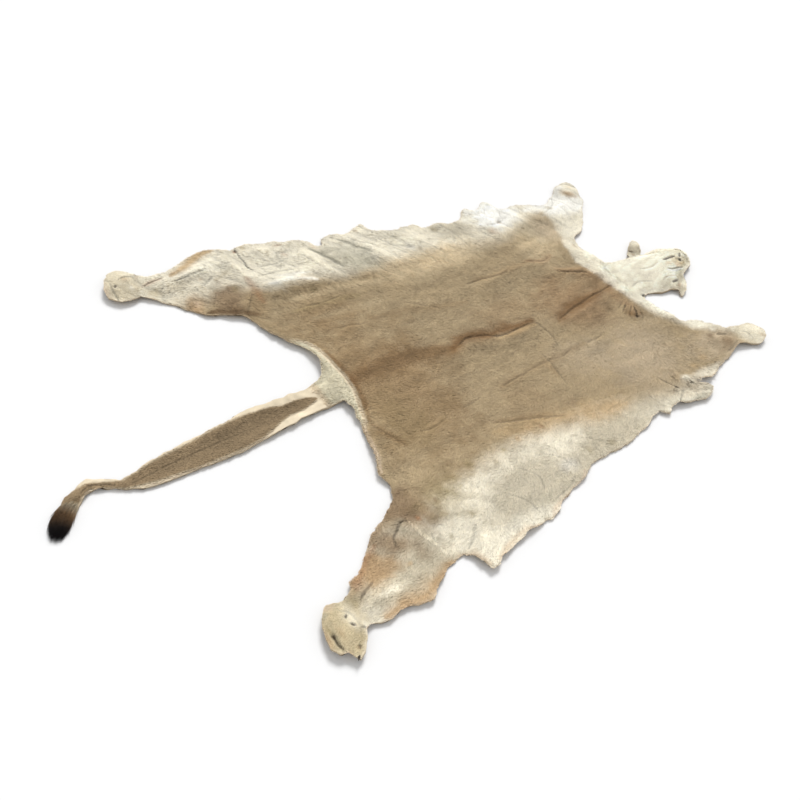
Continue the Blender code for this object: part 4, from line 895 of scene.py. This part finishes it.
class Skin:
    """The heights, colours and coat of the whole skin on one plan grid."""

    def __init__(self, settings, colours):
        self.settings = settings
        self.colours = colours
        self.grid = PlanGrid()
        self.slow = self.grid.noise(pitch=0.11, seed=1.5)
        self.quick = self.grid.noise(pitch=0.035, seed=4.5)
        self.fine = self.grid.noise(pitch=0.012, seed=6.5)
        self.measure_hide()
        self.crease_hide()
        self.paint()

    def measure_hide(self):
        """Reads the solid's top and underside by rays, and smooths the top."""
        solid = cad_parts["pelt"].data
        corners = [vertex.co for vertex in solid.vertices]
        tree = BVHTree.FromPolygons(corners, [face.vertices[:] for face in solid.polygons])
        shape = self.grid.places.shape[:2]
        top, held = np.zeros(shape), np.zeros(shape)
        self.under = np.zeros(shape)
        for place in np.ndindex(shape):
            x, y = self.grid.places[place]
            hit = tree.ray_cast(Vector((x, y, ABOVE)), Vector((0, 0, -1)))[0]
            if hit:
                top[place] = hit.z
                held[place] = 1.0
                self.under[place] = tree.ray_cast(Vector((x, y, -ABOVE)), Vector((0, 0, 1)))[0].z
        softness = self.settings.softness
        self.height = blurred(top, softness) / np.maximum(blurred(held, softness), TINY)
        ragged = self.grid.noise(pitch=0.022, seed=21.5) + 0.7 * self.fine
        self.inset = self.settings.ragged * ragged - self.settings.overhang
        self.cover = blurred(held, EDGE_BLUR)
        coated = self.cover - self.inset / (EDGE_BLUR * math.sqrt(2 * math.pi))
        self.coated = coated * soft_step(self.cover, *OUTER_COVER)
        plan = self.grid.plan
        self.seen = plan + (plan - EYE[:2]) * (self.height / (EYE[2] - self.height))[..., None]

    def crease_hide(self):
        """Presses creases, cuts, puckers and wrinkles into the hide."""
        pitch = self.settings.pucker_pitch
        puckers = self.grid.noise(pitch, seed=2.5) + 0.5 * self.grid.noise(pitch / 2, seed=7.5)
        self.height += self.settings.pucker * puckers
        x = self.seen[..., 0]
        left = self.grid.noise(pitch=0.045, seed=31.5, ahead=(1, 0.4), stretch=3)
        right = self.grid.noise(pitch=0.045, seed=32.5, ahead=(1, -0.1), stretch=3)
        across = np.where(x < 0, left, right)
        sides = soft_step(-x, 0.30, 0.50) + 0.35 * soft_step(x, 0.36, 0.56)
        self.wrinkled = np.exp(-((across / 0.09) ** 2)) * sides
        self.height -= self.settings.wrinkle * self.wrinkled
        for crease in CREASES:
            window, gap = nearness(self.seen, crease.path, self.settings.crease_width * crease.width)
            depth = self.settings.crease_depth * crease.depth
            self.height[window] -= depth * (1 - gap**2) * np.exp(-(gap**2))
        for cut in CUTS:
            window, gap = nearness(self.seen, cut.path, cut.width)
            self.height[window] -= cut.depth * np.exp(-(gap**2))
        self.height = np.maximum(self.height, FLOOR_LEAST)

    def rim_pull(self, points):
        """How far the ragged rim takes each point in or out."""
        forward, right = np.gradient(self.cover, GRID_STEP)
        slope = np.stack([right, forward], axis=-1)
        inward = slope / np.maximum(np.linalg.norm(slope, axis=-1), TINY)[..., None]
        near = np.clip((0.97 - self.cover) / 0.47, 0, 1) * self.inset
        return self.grid.read(inward * near[..., None], points)

    def colour(self, name):
        return np.array(getattr(self.colours, name))

    def lay(self, name, share, window=...):
        """Lays a named colour over the coat, in each square as strongly as its share."""
        self.coat[window] += (self.colour(name) - self.coat[window]) * share[..., None]

    def paint(self):
        """Colours the coat from large areas to small marks, paints shade and light, and finds where it is
        bare.
        """
        seen = self.seen
        x, y = seen[..., 0], seen[..., 1]
        wander = 0.020 * self.slow + 0.012 * self.quick + 0.004 * self.fine
        self.coat = np.tile(0.6 * self.colour("cream") + 0.4 * self.colour("belly"), (*x.shape, 1))
        front = line_at(BACK_FRONT, x)
        soft = np.interp(x, (0.05, 0.25), (0.012, 0.045))
        behind = 1 - soft_step(y + 0.5 * wander, front - soft, front + soft)
        self.lay("back", span_share(BACK, seen, wander) * behind)
        uneven = 0.25 * self.slow + 0.20 * self.quick + 0.10 * self.fine
        for patch in AREAS:
            self.lay(patch.colour, patch_share(patch, seen, uneven))
        for streak in STREAKS:
            window, gap = nearness(seen, streak.path, streak.width)
            reach = np.clip(gap + 0.35 * self.quick[window] + 0.15 * self.fine[window], 0, None)
            self.lay(streak.colour, streak.strength * np.exp(-(reach**2)), window)
        for patch in MARKS:
            self.lay(patch.colour, patch_share(patch, seen, uneven))
        self.paint_tail(x, y)
        rim = 1 - soft_step(self.coated, 0.55, 0.85)
        self.lay("pink", self.colours.rim * rim * self.furred)
        # Painted shade and light, with the random blotches and streaks, multiplied into the coat's colour.
        self.coat *= self.light(x)[..., None]
        # The cuts are left bare and painted near-black as shade in their slits, pits and holes.
        for cut in CUTS:
            window, gap = nearness(seen, cut.path, cut.width)
            self.lay("cut", cut.shade * np.exp(-(gap**4)), window)
            self.furred[window] *= 1 - np.exp(-(gap**4))

    def paint_tail(self, x, y):
        """Colours the tail's lips and groove, its pale root and the bare lip of the rump over it."""
        beside = (x > TAIL_ZONE.left) & (x < TAIL_ZONE.right)
        tail = beside * (1 - soft_step(y, TAIL_ZONE.y - TAIL_ZONE.soft, TAIL_ZONE.y))
        groove = span_share(GROOVE, self.seen) * (1 - soft_step(y, GROOVE[0].y, GROOVE[0].y + 0.006))
        rump = line_at(RUMP, x)
        over = soft_step(x, RUMP[0].x, RUMP[0].x + 0.06) * (1 - soft_step(x, RUMP[-1].x - 0.05, RUMP[-1].x))
        behind = soft_step(rump - y, 0, 0.01) * (1 - soft_step(rump - y, RUMP_REACH - 0.03, RUMP_REACH))
        self.lay("root", over * behind * (1 - tail))
        self.lay("lip", tail)
        self.lay("groove", tail * groove)
        lip = over * np.exp(-(((y - rump) / 0.008) ** 4))
        self.lay("lip", 0.85 * lip)
        self.furred = (1 - tail * (1 - groove)) * (1 - lip)

    def light(self, x):
        """Coat brightness: blotches, nap streaks, painted shade in hollows and creases, painted light on
        ridges.
        """
        # Painted shade where the hide lies below its smoothed height, painted light where it lies above.
        hollow_shade = np.clip((blurred(self.height, 0.010) - self.height) / 0.002, -1, 1)
        right, left = soft_step(x, 0.15, 0.45), soft_step(-x, 0.15, 0.50)
        parts = ((1 - right - left, 11.5, (0, -1)), (right, 12.5, (0.7, -0.7)), (left, 13.5, (-0.7, -0.7)))
        streaks = sum(share * self.grid.noise(0.010, seed, ahead, 5) for share, seed, ahead in parts)
        # The hollows and fine wrinkles are painted darker as shade, the ridges lighter as painted light.
        light = 1 - self.colours.hollow_shade * (hollow_shade + self.wrinkled)
        light *= 1 + self.colours.blotch * (self.slow + 0.7 * self.quick)
        bands = self.grid.noise(pitch=0.030, seed=15.5, ahead=(0.15, -1), stretch=4.5)
        light *= 1 + self.colours.streaks * (streaks + 1.3 * bands + 0.5 * self.fine)
        # Painted shade along each crease, and a painted highlight on the lit lip beside it.
        for crease in CREASES:
            width = self.settings.crease_width * crease.width
            window, gap = nearness(self.seen, crease.path, width)
            light[window] *= 1 - crease.shade * np.exp(-1.5 * gap**2)
            lit = np.array(crease.path) + np.array([0.8, -0.6]) * 1.3 * width
            window, gap = nearness(self.seen, lit, width)
            light[window] *= 1 + 0.35 * crease.shade * np.exp(-1.5 * gap**2)
        return light


def surface(material, socket):
    return material.node_tree.nodes["Principled BSDF"].inputs[socket]


def new_material(name, roughness, sheen=0.0):
    material = bpy.data.materials.new(name)
    material.use_nodes = True
    shader = material.node_tree.nodes["Principled BSDF"]
    shader.inputs["Roughness"].default_value = roughness
    shader.inputs["Sheen Weight"].default_value = sheen
    shader.inputs["Specular IOR Level"].default_value = 0.15
    return material


def add_texture(tree, kind, scale):
    """A texture laid out in the object's own space."""
    texture = tree.nodes.new(kind)
    texture.inputs["Scale"].default_value = scale
    place = tree.nodes.new("ShaderNodeTexCoord")
    tree.links.new(place.outputs["Object"], texture.inputs["Vector"])
    return texture


def add_relief(material, height, strength):
    """Roughens the surface by an output that stands for its height."""
    tree = material.node_tree
    relief = tree.nodes.new("ShaderNodeBump")
    relief.inputs["Strength"].default_value = strength
    relief.inputs["Distance"].default_value = RELIEF_DEPTH
    tree.links.new(height, relief.inputs["Height"])
    tree.links.new(relief.outputs["Normal"], surface(material, "Normal"))


def coat_material(name, roughness, sheen, grain_scale, bump):
    """A finish that takes its colour from the painted attribute, with a fine grain over it."""
    material = new_material(name, roughness, sheen)
    tree = material.node_tree
    painted = tree.nodes.new("ShaderNodeAttribute")
    painted.attribute_name = "coat"
    grain = add_texture(tree, "ShaderNodeTexNoise", grain_scale)
    grain.inputs["Detail"].default_value = 3.0
    shade = tree.nodes.new("ShaderNodeMapRange")
    shade.inputs["To Min"].default_value = 0.82
    shade.inputs["To Max"].default_value = 1.18
    mix = tree.nodes.new("ShaderNodeMix")
    mix.data_type = "RGBA"
    mix.blend_type = "MULTIPLY"
    mix.inputs["Factor"].default_value = 1.0
    link = tree.links.new
    link(grain.outputs["Fac"], shade.inputs["Value"])
    link(painted.outputs["Color"], mix.inputs["A"])
    link(shade.outputs["Result"], mix.inputs["B"])
    link(mix.outputs["Result"], surface(material, "Base Color"))
    add_relief(material, grain.outputs["Fac"], bump)
    return material


def flesh_material(colour):
    """The bare flesh side: dried leather, blotched and slightly glossy."""
    material = new_material("raw hide", roughness=0.6)
    tree = material.node_tree
    blotches = add_texture(tree, "ShaderNodeTexNoise", scale=14.0)
    blotches.inputs["Detail"].default_value = 6.0
    tones = tree.nodes.new("ShaderNodeValToRGB")
    tones.color_ramp.elements[0].position = 0.35
    tones.color_ramp.elements[0].color = (*(0.62 * value for value in colour), 1)
    tones.color_ramp.elements[1].position = 0.70
    tones.color_ramp.elements[1].color = (*colour, 1)
    tree.links.new(blotches.outputs["Fac"], tones.inputs["Fac"])
    tree.links.new(tones.outputs["Color"], surface(material, "Base Color"))
    grain = add_texture(tree, "ShaderNodeTexVoronoi", scale=260.0)
    add_relief(material, grain.outputs["Distance"], strength=0.35)
    return material


def painted_on(mesh, colours):
    """Stores a colour for each point of the mesh."""
    layer = mesh.color_attributes.new("coat", "FLOAT_COLOR", "POINT")
    opaque = np.ones((len(colours), 4), np.float32)
    opaque[:, :3] = np.clip(colours, 0, 1)
    layer.data.foreach_set("color", opaque.ravel())


def plan_map(mesh, low, high):
    """Lays a UV map over the mesh as seen from above, so that it can be baked in one sheet."""
    corners = np.empty(len(mesh.loops), np.int32)
    mesh.loops.foreach_get("vertex_index", corners)
    places = np.empty(len(mesh.vertices) * 3, np.float32)
    mesh.vertices.foreach_get("co", places)
    spread = (places.reshape(-1, 3)[corners, :2] - low) / (np.array(high) - low)
    layer = mesh.uv_layers.new(name="OFBake")
    layer.data.foreach_set("uv", np.clip(spread, 0, 1).astype(np.float32).ravel())


def add_object(name, mesh):
    piece = bpy.data.objects.new(name, mesh)
    bpy.context.scene.collection.objects.link(piece)
    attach(piece, BODY)
    return piece


def loose_mesh(name, places, faces):
    """A mesh from an array of points and one of faces that all have the same number of sides."""
    mesh = bpy.data.meshes.new(name)
    count, sides = faces.shape
    mesh.vertices.add(len(places))
    mesh.vertices.foreach_set("co", places.astype(np.float32).ravel())
    mesh.loops.add(count * sides)
    mesh.loops.foreach_set("vertex_index", faces.astype(np.int32).ravel())
    mesh.polygons.add(count)
    mesh.polygons.foreach_set("loop_start", np.arange(count, dtype=np.int32) * sides)
    mesh.update(calc_edges=True)
    mesh.validate()
    return mesh


def under_rim(edge):
    """Whether a wall and the underside meet in this edge."""
    slopes = [face.normal.z for face in edge.link_faces]
    under = any(slope < UNDER_SLOPE for slope in slopes)
    return under and any(abs(slope) < WALL_SLOPE for slope in slopes)


def refined_hide(skin, settings):
    """A merged copy of the solid hide: its top cut finely and laid on the measured heights."""
    shape = bmesh.new()
    shape.from_mesh(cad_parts["pelt"].data)
    bmesh.ops.remove_doubles(shape, verts=shape.verts, dist=TINY)
    shape.normal_update()
    top = [face for face in shape.faces if face.normal.z > WALL_SLOPE]
    edges = {edge for face in top for edge in face.edges}
    edges |= {edge for edge in shape.edges if under_rim(edge)}
    bmesh.ops.subdivide_edges(shape, edges=list(edges), cuts=settings.cuts, use_grid_fill=True)
    shape.normal_update()
    top = [face for face in shape.faces if face.normal.z > WALL_SLOPE]
    raised = list({vertex for face in top for vertex in face.verts})
    plan = np.array([vertex.co[:2] for vertex in raised])
    heights = skin.grid.read(skin.height, plan) - settings.drop
    least = skin.grid.read(skin.under, plan) + WALL_LEAST
    for vertex, height in zip(raised, np.maximum(heights, least)):
        vertex.co.z = height
    pull = skin.rim_pull(np.array([vertex.co[:2] for vertex in shape.verts]))
    for vertex, (right, forward) in zip(shape.verts, pull.tolist()):
        vertex.co.x += right
        vertex.co.y += forward
    for face in shape.faces:
        face.material_index = 1
        face.smooth = True
    for face in top:
        face.material_index = 0
    mesh = bpy.data.meshes.new("hide")
    shape.to_mesh(mesh)
    shape.free()
    return mesh


class LIONSKIN_OT_hide(Operator):
    """Lays the hide, with its flesh side below"""

    bl_idname = "lionskin.hide"
    bl_label = "Hide"

    def execute(self, context):
        settings = context.scene.lionskin_hide
        skin = skin_of(context)
        mesh = refined_hide(skin, settings)
        places = np.array([vertex.co[:2] for vertex in mesh.vertices])
        painted_on(mesh, skin.grid.read(skin.coat, places))
        underfur = coat_material("underfur", roughness=0.85, sheen=0.0, grain_scale=420.0, bump=0.6)
        mesh.materials.append(underfur)
        mesh.materials.append(flesh_material(settings.flesh))
        hide = add_object("hide", mesh)
        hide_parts("pelt")
        return {"FINISHED"}


def nap_at(plan):
    """The direction in which the fur lies at each plan place."""
    total = np.zeros_like(plan)
    for nap in NAPS:
        away = (plan[:, 0] - nap.x) ** 2 + (plan[:, 1] - nap.y) ** 2
        weight = 1 / (away + NAP_REACH**2) ** 2
        total += weight[:, None] * (nap.right, nap.ahead)
    return total / np.linalg.norm(total, axis=1)[:, None]


def coat_length(plan):
    """The share of the full lock length at each plan place."""
    share = np.ones(len(plan))
    for coat in COATS:
        reach = np.hypot((plan[:, 0] - coat.x) / coat.across, (plan[:, 1] - coat.y) / coat.along)
        share = np.minimum(share, coat.length + (1 - coat.length) * soft_step(reach, 0.8, 1.1))
    return share


def scattered(rng, low, high, spacing):
    """Places in staggered rows, each moved a little."""
    x, y = np.meshgrid(np.arange(low[0], high[0], spacing), np.arange(low[1], high[1], spacing * ROW_STEP))
    x[1::2] += spacing / 2
    places = np.stack([x.ravel(), y.ravel()], axis=1)
    return places + rng.uniform(-0.5, 0.5, places.shape) * spacing


def lock_roots(skin, settings, band, rng):
    """The places in the band where a lock grows."""
    low = np.array([cad_low.x, TAIL_ROOT[1] + band.rear])
    high = np.array([cad_high.x, TAIL_ROOT[1] + band.front])
    places = scattered(rng, low, np.minimum(high, np.array(cad_high[:2])), settings.spacing)
    chance = rng.random(len(places))
    covered = skin.grid.read(skin.coated, places) > LEAST_COVER
    return places[covered & (chance < skin.grid.read(skin.furred, places))]


def turned(directions, turn):
    """Plan directions, each turned by its own angle."""
    x, y = directions[:, 0], directions[:, 1]
    return np.stack([x * np.cos(turn) - y * np.sin(turn), x * np.sin(turn) + y * np.cos(turn)], axis=1)


def grow_band(skin, settings, band, rng):
    """One band of the coat: a leaf-shaped lock of two faces at each root."""
    grid = skin.grid
    root = lock_roots(skin, settings, band, rng)
    count = len(root)
    plan = root - TAIL_ROOT
    turn = rng.normal(0, settings.stray, count) + settings.drift * grid.read(skin.quick, root)
    ahead = turned(nap_at(plan), turn)
    across = np.stack([-ahead[:, 1], ahead[:, 0]], axis=1)
    share = coat_length(plan)
    length = settings.length * share * rng.uniform(0.7, 1.3, count)
    beyond = grid.read(skin.coated, root + ahead * length[:, None])
    length *= np.clip((beyond - 0.1) / 0.35, 0.35, 1.0)
    width = settings.width * rng.uniform(0.75, 1.25, count) * (0.6 + 0.4 * share)
    lift = settings.lift * share * rng.uniform(0.4, 1.3, count)
    roll = 0.10 * width * rng.normal(0, 1, count)
    middle = root + ahead * (LOCK_MIDDLE * length)[:, None]
    left = middle + across * (width / 2)[:, None]
    right = middle - across * (width / 2)[:, None]
    tip = root + ahead * length[:, None]
    base = grid.read(skin.height, middle)
    heights = [
        grid.read(skin.height, root) - settings.width * 0.5,
        base + 0.55 * lift + roll,
        base + 0.55 * lift - roll,
        grid.read(skin.height, tip) + lift,
    ]
    corners = [np.column_stack([place, height]) for place, height in zip((root, left, right, tip), heights)]
    places = np.stack(corners, axis=1)
    places[..., 2] = np.maximum(places[..., 2], LOCK_LEAST)
    start = np.arange(count)[:, None] * 4
    faces = np.concatenate([start + (0, 2, 1), start + (1, 2, 3)])
    mesh = loose_mesh(band.name, places.reshape(-1, 3), faces)
    mottle = 1 + settings.mottle * rng.normal(0, 1, count)
    base_colour = grid.read(skin.coat, middle) * mottle[:, None]
    # Painted shade at each lock's root and painted light at its tip.
    shades = np.array(LOCK_PAINTED_SHADING)
    painted_on(mesh, (base_colour[:, None, :] * shades[None, :, None]).reshape(-1, 3))
    flat = places[..., :2].reshape(-1, 2)
    plan_map(mesh, flat.min(0), flat.max(0))
    return mesh


class LIONSKIN_OT_coat(Operator):
    """Grows the short fur in bands across the skin"""

    bl_idname = "lionskin.coat"
    bl_label = "Coat"

    def execute(self, context):
        settings = context.scene.lionskin_coat
        skin = skin_of(context)
        fur = coat_material("fur", roughness=0.8, sheen=0.1, grain_scale=700.0, bump=0.2)
        rng = np.random.default_rng(settings.seed)
        for band in BANDS:
            mesh = grow_band(skin, settings, band, rng)
            mesh.materials.append(fur)
            add_object(band.name, mesh)
        return {"FINISHED"}


def brush_strands(settings, rng):
    """Points and colours of the brush's strands, each a three-sided spike along a smooth line."""
    path = smooth_path(BRUSH_PATH)
    steps = np.linalg.norm(np.diff(path, axis=0), axis=1)
    along_path = np.concatenate([[0], np.cumsum(steps)]) - BRUSH_START
    end = BRUSH[-1].along
    count, rings = settings.strands, settings.rings
    start = rng.uniform(BRUSH[0].along, BRUSH_LAST_ROOT, count)
    length = settings.length * rng.uniform(0.75, 1.2, count)
    stop = np.minimum(start + length, end * rng.uniform(0.80, 1.05, count))
    side = rng.uniform(-1, 1, count)
    height = rng.uniform(0, 1, count) * np.sqrt(1 - side**2)
    wave = rng.normal(0, 1, (count, 2))
    share = np.linspace(0, 1, rings)
    along = start[:, None] + (stop - start)[:, None] * share
    half = np.interp(along, [row.along for row in BRUSH], [row.half_width for row in BRUSH])
    middle = np.stack([np.interp(along, along_path, path[:, axis]) for axis in (0, 1)], axis=-1) + TAIL_ROOT
    ahead = np.gradient(middle, axis=1)
    ahead /= np.linalg.norm(ahead, axis=2)[..., None]
    across = np.stack([-ahead[..., 1], ahead[..., 0]], axis=-1)
    off = side[:, None] * half + BRUSH_WAVE * wave[:, :1] * share**2
    swell = height[:, None] * (0.25 + 0.75 * soft_step(share, 0, 0.5))
    lying = BRUSH_FLOOR + 2 * settings.flatness * half * (0.06 + 0.94 * swell)
    centre = np.concatenate([middle + across * off[..., None], lying[..., None]], axis=-1)
    thick = settings.thickness * (1 - share**1.5)[None, :, None] * 0.5 + STRAND_TIP
    upwards = np.zeros_like(centre)
    upwards[..., 2] = 1.0
    sideways = np.concatenate([across, np.zeros_like(off)[..., None]], axis=-1)
    corners = [
        centre + thick * (sideways * math.cos(turn) + upwards * math.sin(turn))
        for turn in (math.radians(90), math.radians(210), math.radians(330))
    ]
    shades = np.array([settings.root, settings.middle, settings.tip])
    colours = np.stack([np.interp(along, BRUSH_TONES_AT, shades[:, part]) for part in range(3)], axis=-1)
    colours = colours * (1 + 0.25 * rng.normal(0, 1, (count, 1, 1))).clip(0.4, 1.8)
    return np.stack(corners, axis=2), np.repeat(colours[:, :, None], 3, axis=2)


def strand_faces(count, rings):
    """Faces of three-sided strands whose rings of points follow each other."""
    faces = []
    for ring in range(rings - 1):
        for side in range(3):
            here, there = ring * 3 + side, ring * 3 + (side + 1) % 3
            faces += [(here, here + 3, there + 3), (here, there + 3, there)]
    return (np.arange(count)[:, None, None] * rings * 3 + np.array(faces)[None]).reshape(-1, 3)


class LIONSKIN_OT_brush(Operator):
    """Grows the dark brush at the tail's end"""

    bl_idname = "lionskin.brush"
    bl_label = "Tail brush"

    def execute(self, context):
        settings = context.scene.lionskin_brush
        rng = np.random.default_rng(settings.seed)
        places, colours = brush_strands(settings, rng)
        count, rings = places.shape[:2]
        mesh = loose_mesh("tail_brush", places.reshape(-1, 3), strand_faces(count, rings))
        painted_on(mesh, colours.reshape(-1, 3))
        flat = places[..., :2].reshape(-1, 2)
        plan_map(mesh, flat.min(0), flat.max(0))
        hair = coat_material("brush hair", roughness=0.55, sheen=0.0, grain_scale=900.0, bump=0.2)
        mesh.materials.append(hair)
        brush = add_object("tail_brush", mesh)
        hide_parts("tail_tuft")
        return {"FINISHED"}


class LIONSKIN_OT_claw(Operator):
    """Sets the dark claw in the toe of the right hind paw"""

    bl_idname = "lionskin.claw"
    bl_label = "Claw"

    def execute(self, context):
        settings = context.scene.lionskin_claw
        skin = skin_of(context)
        place = np.array(settings.place) + TAIL_ROOT
        height = float(skin.grid.read(skin.height, place[None])[0])
        bpy.ops.object.select_all(action="DESELECT")
        bpy.ops.mesh.primitive_cone_add(
            vertices=12,
            radius1=settings.thickness / 2,
            radius2=CLAW_TIP_RADIUS,
            depth=settings.length,
            location=(0, 0, 0),
        )
        claw = context.object
        bpy.ops.object.mode_set(mode="EDIT")
        bpy.ops.mesh.subdivide(number_cuts=3)
        bpy.ops.object.mode_set(mode="OBJECT")
        for vertex in claw.data.vertices:
            share = vertex.co.z / settings.length + 0.5
            vertex.co.x *= CLAW_FLATNESS
            vertex.co.x -= CLAW_BEND * settings.length * share**2
        claw.data.transform(Matrix.Rotation(math.radians(90), 4, "Y"))
        claw.data.transform(Matrix.Rotation(settings.heading, 4, "Z"))
        claw.data.transform(Matrix.Translation((place[0], place[1], max(height, CLAW_LEAST))))
        claw.data.shade_smooth()
        claw.name = "claw"
        horn = new_material("horn", roughness=0.35)
        surface(horn, "Base Color").default_value = (*settings.colour, 1)
        claw.data.materials.append(horn)
        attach(claw, BODY)
        return {"FINISHED"}


class LIONSKIN_OT_stage(Operator):
    """Lays the pale floor and sets soft studio light and the camera"""

    bl_idname = "lionskin.stage"
    bl_label = "Stage"

    def execute(self, context):
        settings = context.scene.lionskin_stage
        bpy.ops.mesh.primitive_plane_add(size=FLOOR_WIDTH, location=(0, 0, -FLOOR_DROP))
        floor = context.object
        floor.name = "floor"
        paint = new_material("pale floor", roughness=0.9)
        surface(paint, "Base Color").default_value = (*settings.floor, 1)
        floor.data.materials.append(paint)
        bpy.ops.object.light_add(type="SUN", location=Vector(settings.sunward) * 4)
        sun = context.object
        sun.name = "sun"
        sun.data.energy = settings.sun
        sun.data.angle = settings.spread
        sun.rotation_euler = Vector(settings.sunward).to_track_quat("Z", "Y").to_euler()
        world = bpy.data.worlds.new("studio")
        world.use_nodes = True
        world.node_tree.nodes["Background"].inputs["Color"].default_value = (1, 1, 1, 1)
        world.node_tree.nodes["Background"].inputs["Strength"].default_value = settings.sky
        context.scene.world = world
        context.scene.view_settings.view_transform = "Standard"
        place = Vector(settings.place) + Vector((*TAIL_ROOT, 0))
        bpy.ops.object.camera_add(location=place)
        camera = context.object
        camera.data.lens = settings.lens
        camera.data.sensor_width = SENSOR_WIDTH
        turn = Matrix.Rotation(settings.heading, 4, "Z")
        turn = turn @ Matrix.Rotation(math.radians(90) - settings.dip, 4, "X")
        turn = turn @ Matrix.Rotation(settings.roll, 4, "Z")
        camera.rotation_euler = turn.to_euler()
        context.scene.camera = camera
        return {"FINISHED"}


class LIONSKIN_PT_panel(Panel):
    """Lists the steps that dress the skin"""

    bl_idname = "LIONSKIN_PT_panel"
    bl_label = "Lion Skin"
    bl_space_type = "VIEW_3D"
    bl_region_type = "UI"
    bl_category = "Lion Skin"

    def draw(self, context):
        for operator in OPERATORS:
            self.layout.operator(operator.bl_idname)


SETTINGS = {
    "lionskin_hide": HideSettings,
    "lionskin_coat": CoatSettings,
    "lionskin_colours": CoatColours,
    "lionskin_brush": BrushSettings,
    "lionskin_claw": ClawSettings,
    "lionskin_stage": StageSettings,
}
OPERATORS = (LIONSKIN_OT_hide, LIONSKIN_OT_coat, LIONSKIN_OT_brush, LIONSKIN_OT_claw, LIONSKIN_OT_stage)
measured = {}


def skin_of(context):
    """The measured and painted skin, worked out once."""
    if "skin" not in measured:
        measured["skin"] = Skin(context.scene.lionskin_hide, context.scene.lionskin_colours)
    return measured["skin"]


def register():
    for name, group in SETTINGS.items():
        bpy.utils.register_class(group)
        setattr(bpy.types.Scene, name, PointerProperty(type=group))
    for kind in (*OPERATORS, LIONSKIN_PT_panel):
        bpy.utils.register_class(kind)


def unregister():
    for kind in (LIONSKIN_PT_panel, *reversed(OPERATORS)):
        bpy.utils.unregister_class(kind)
    for name, group in reversed(SETTINGS.items()):
        delattr(bpy.types.Scene, name)
        bpy.utils.unregister_class(group)


def main():
    register()
    bpy.ops.lionskin.hide()
    bpy.ops.lionskin.coat()
    bpy.ops.lionskin.brush()
    bpy.ops.lionskin.claw()
    bpy.ops.lionskin.stage()


if __name__ == "__main__":
    main()
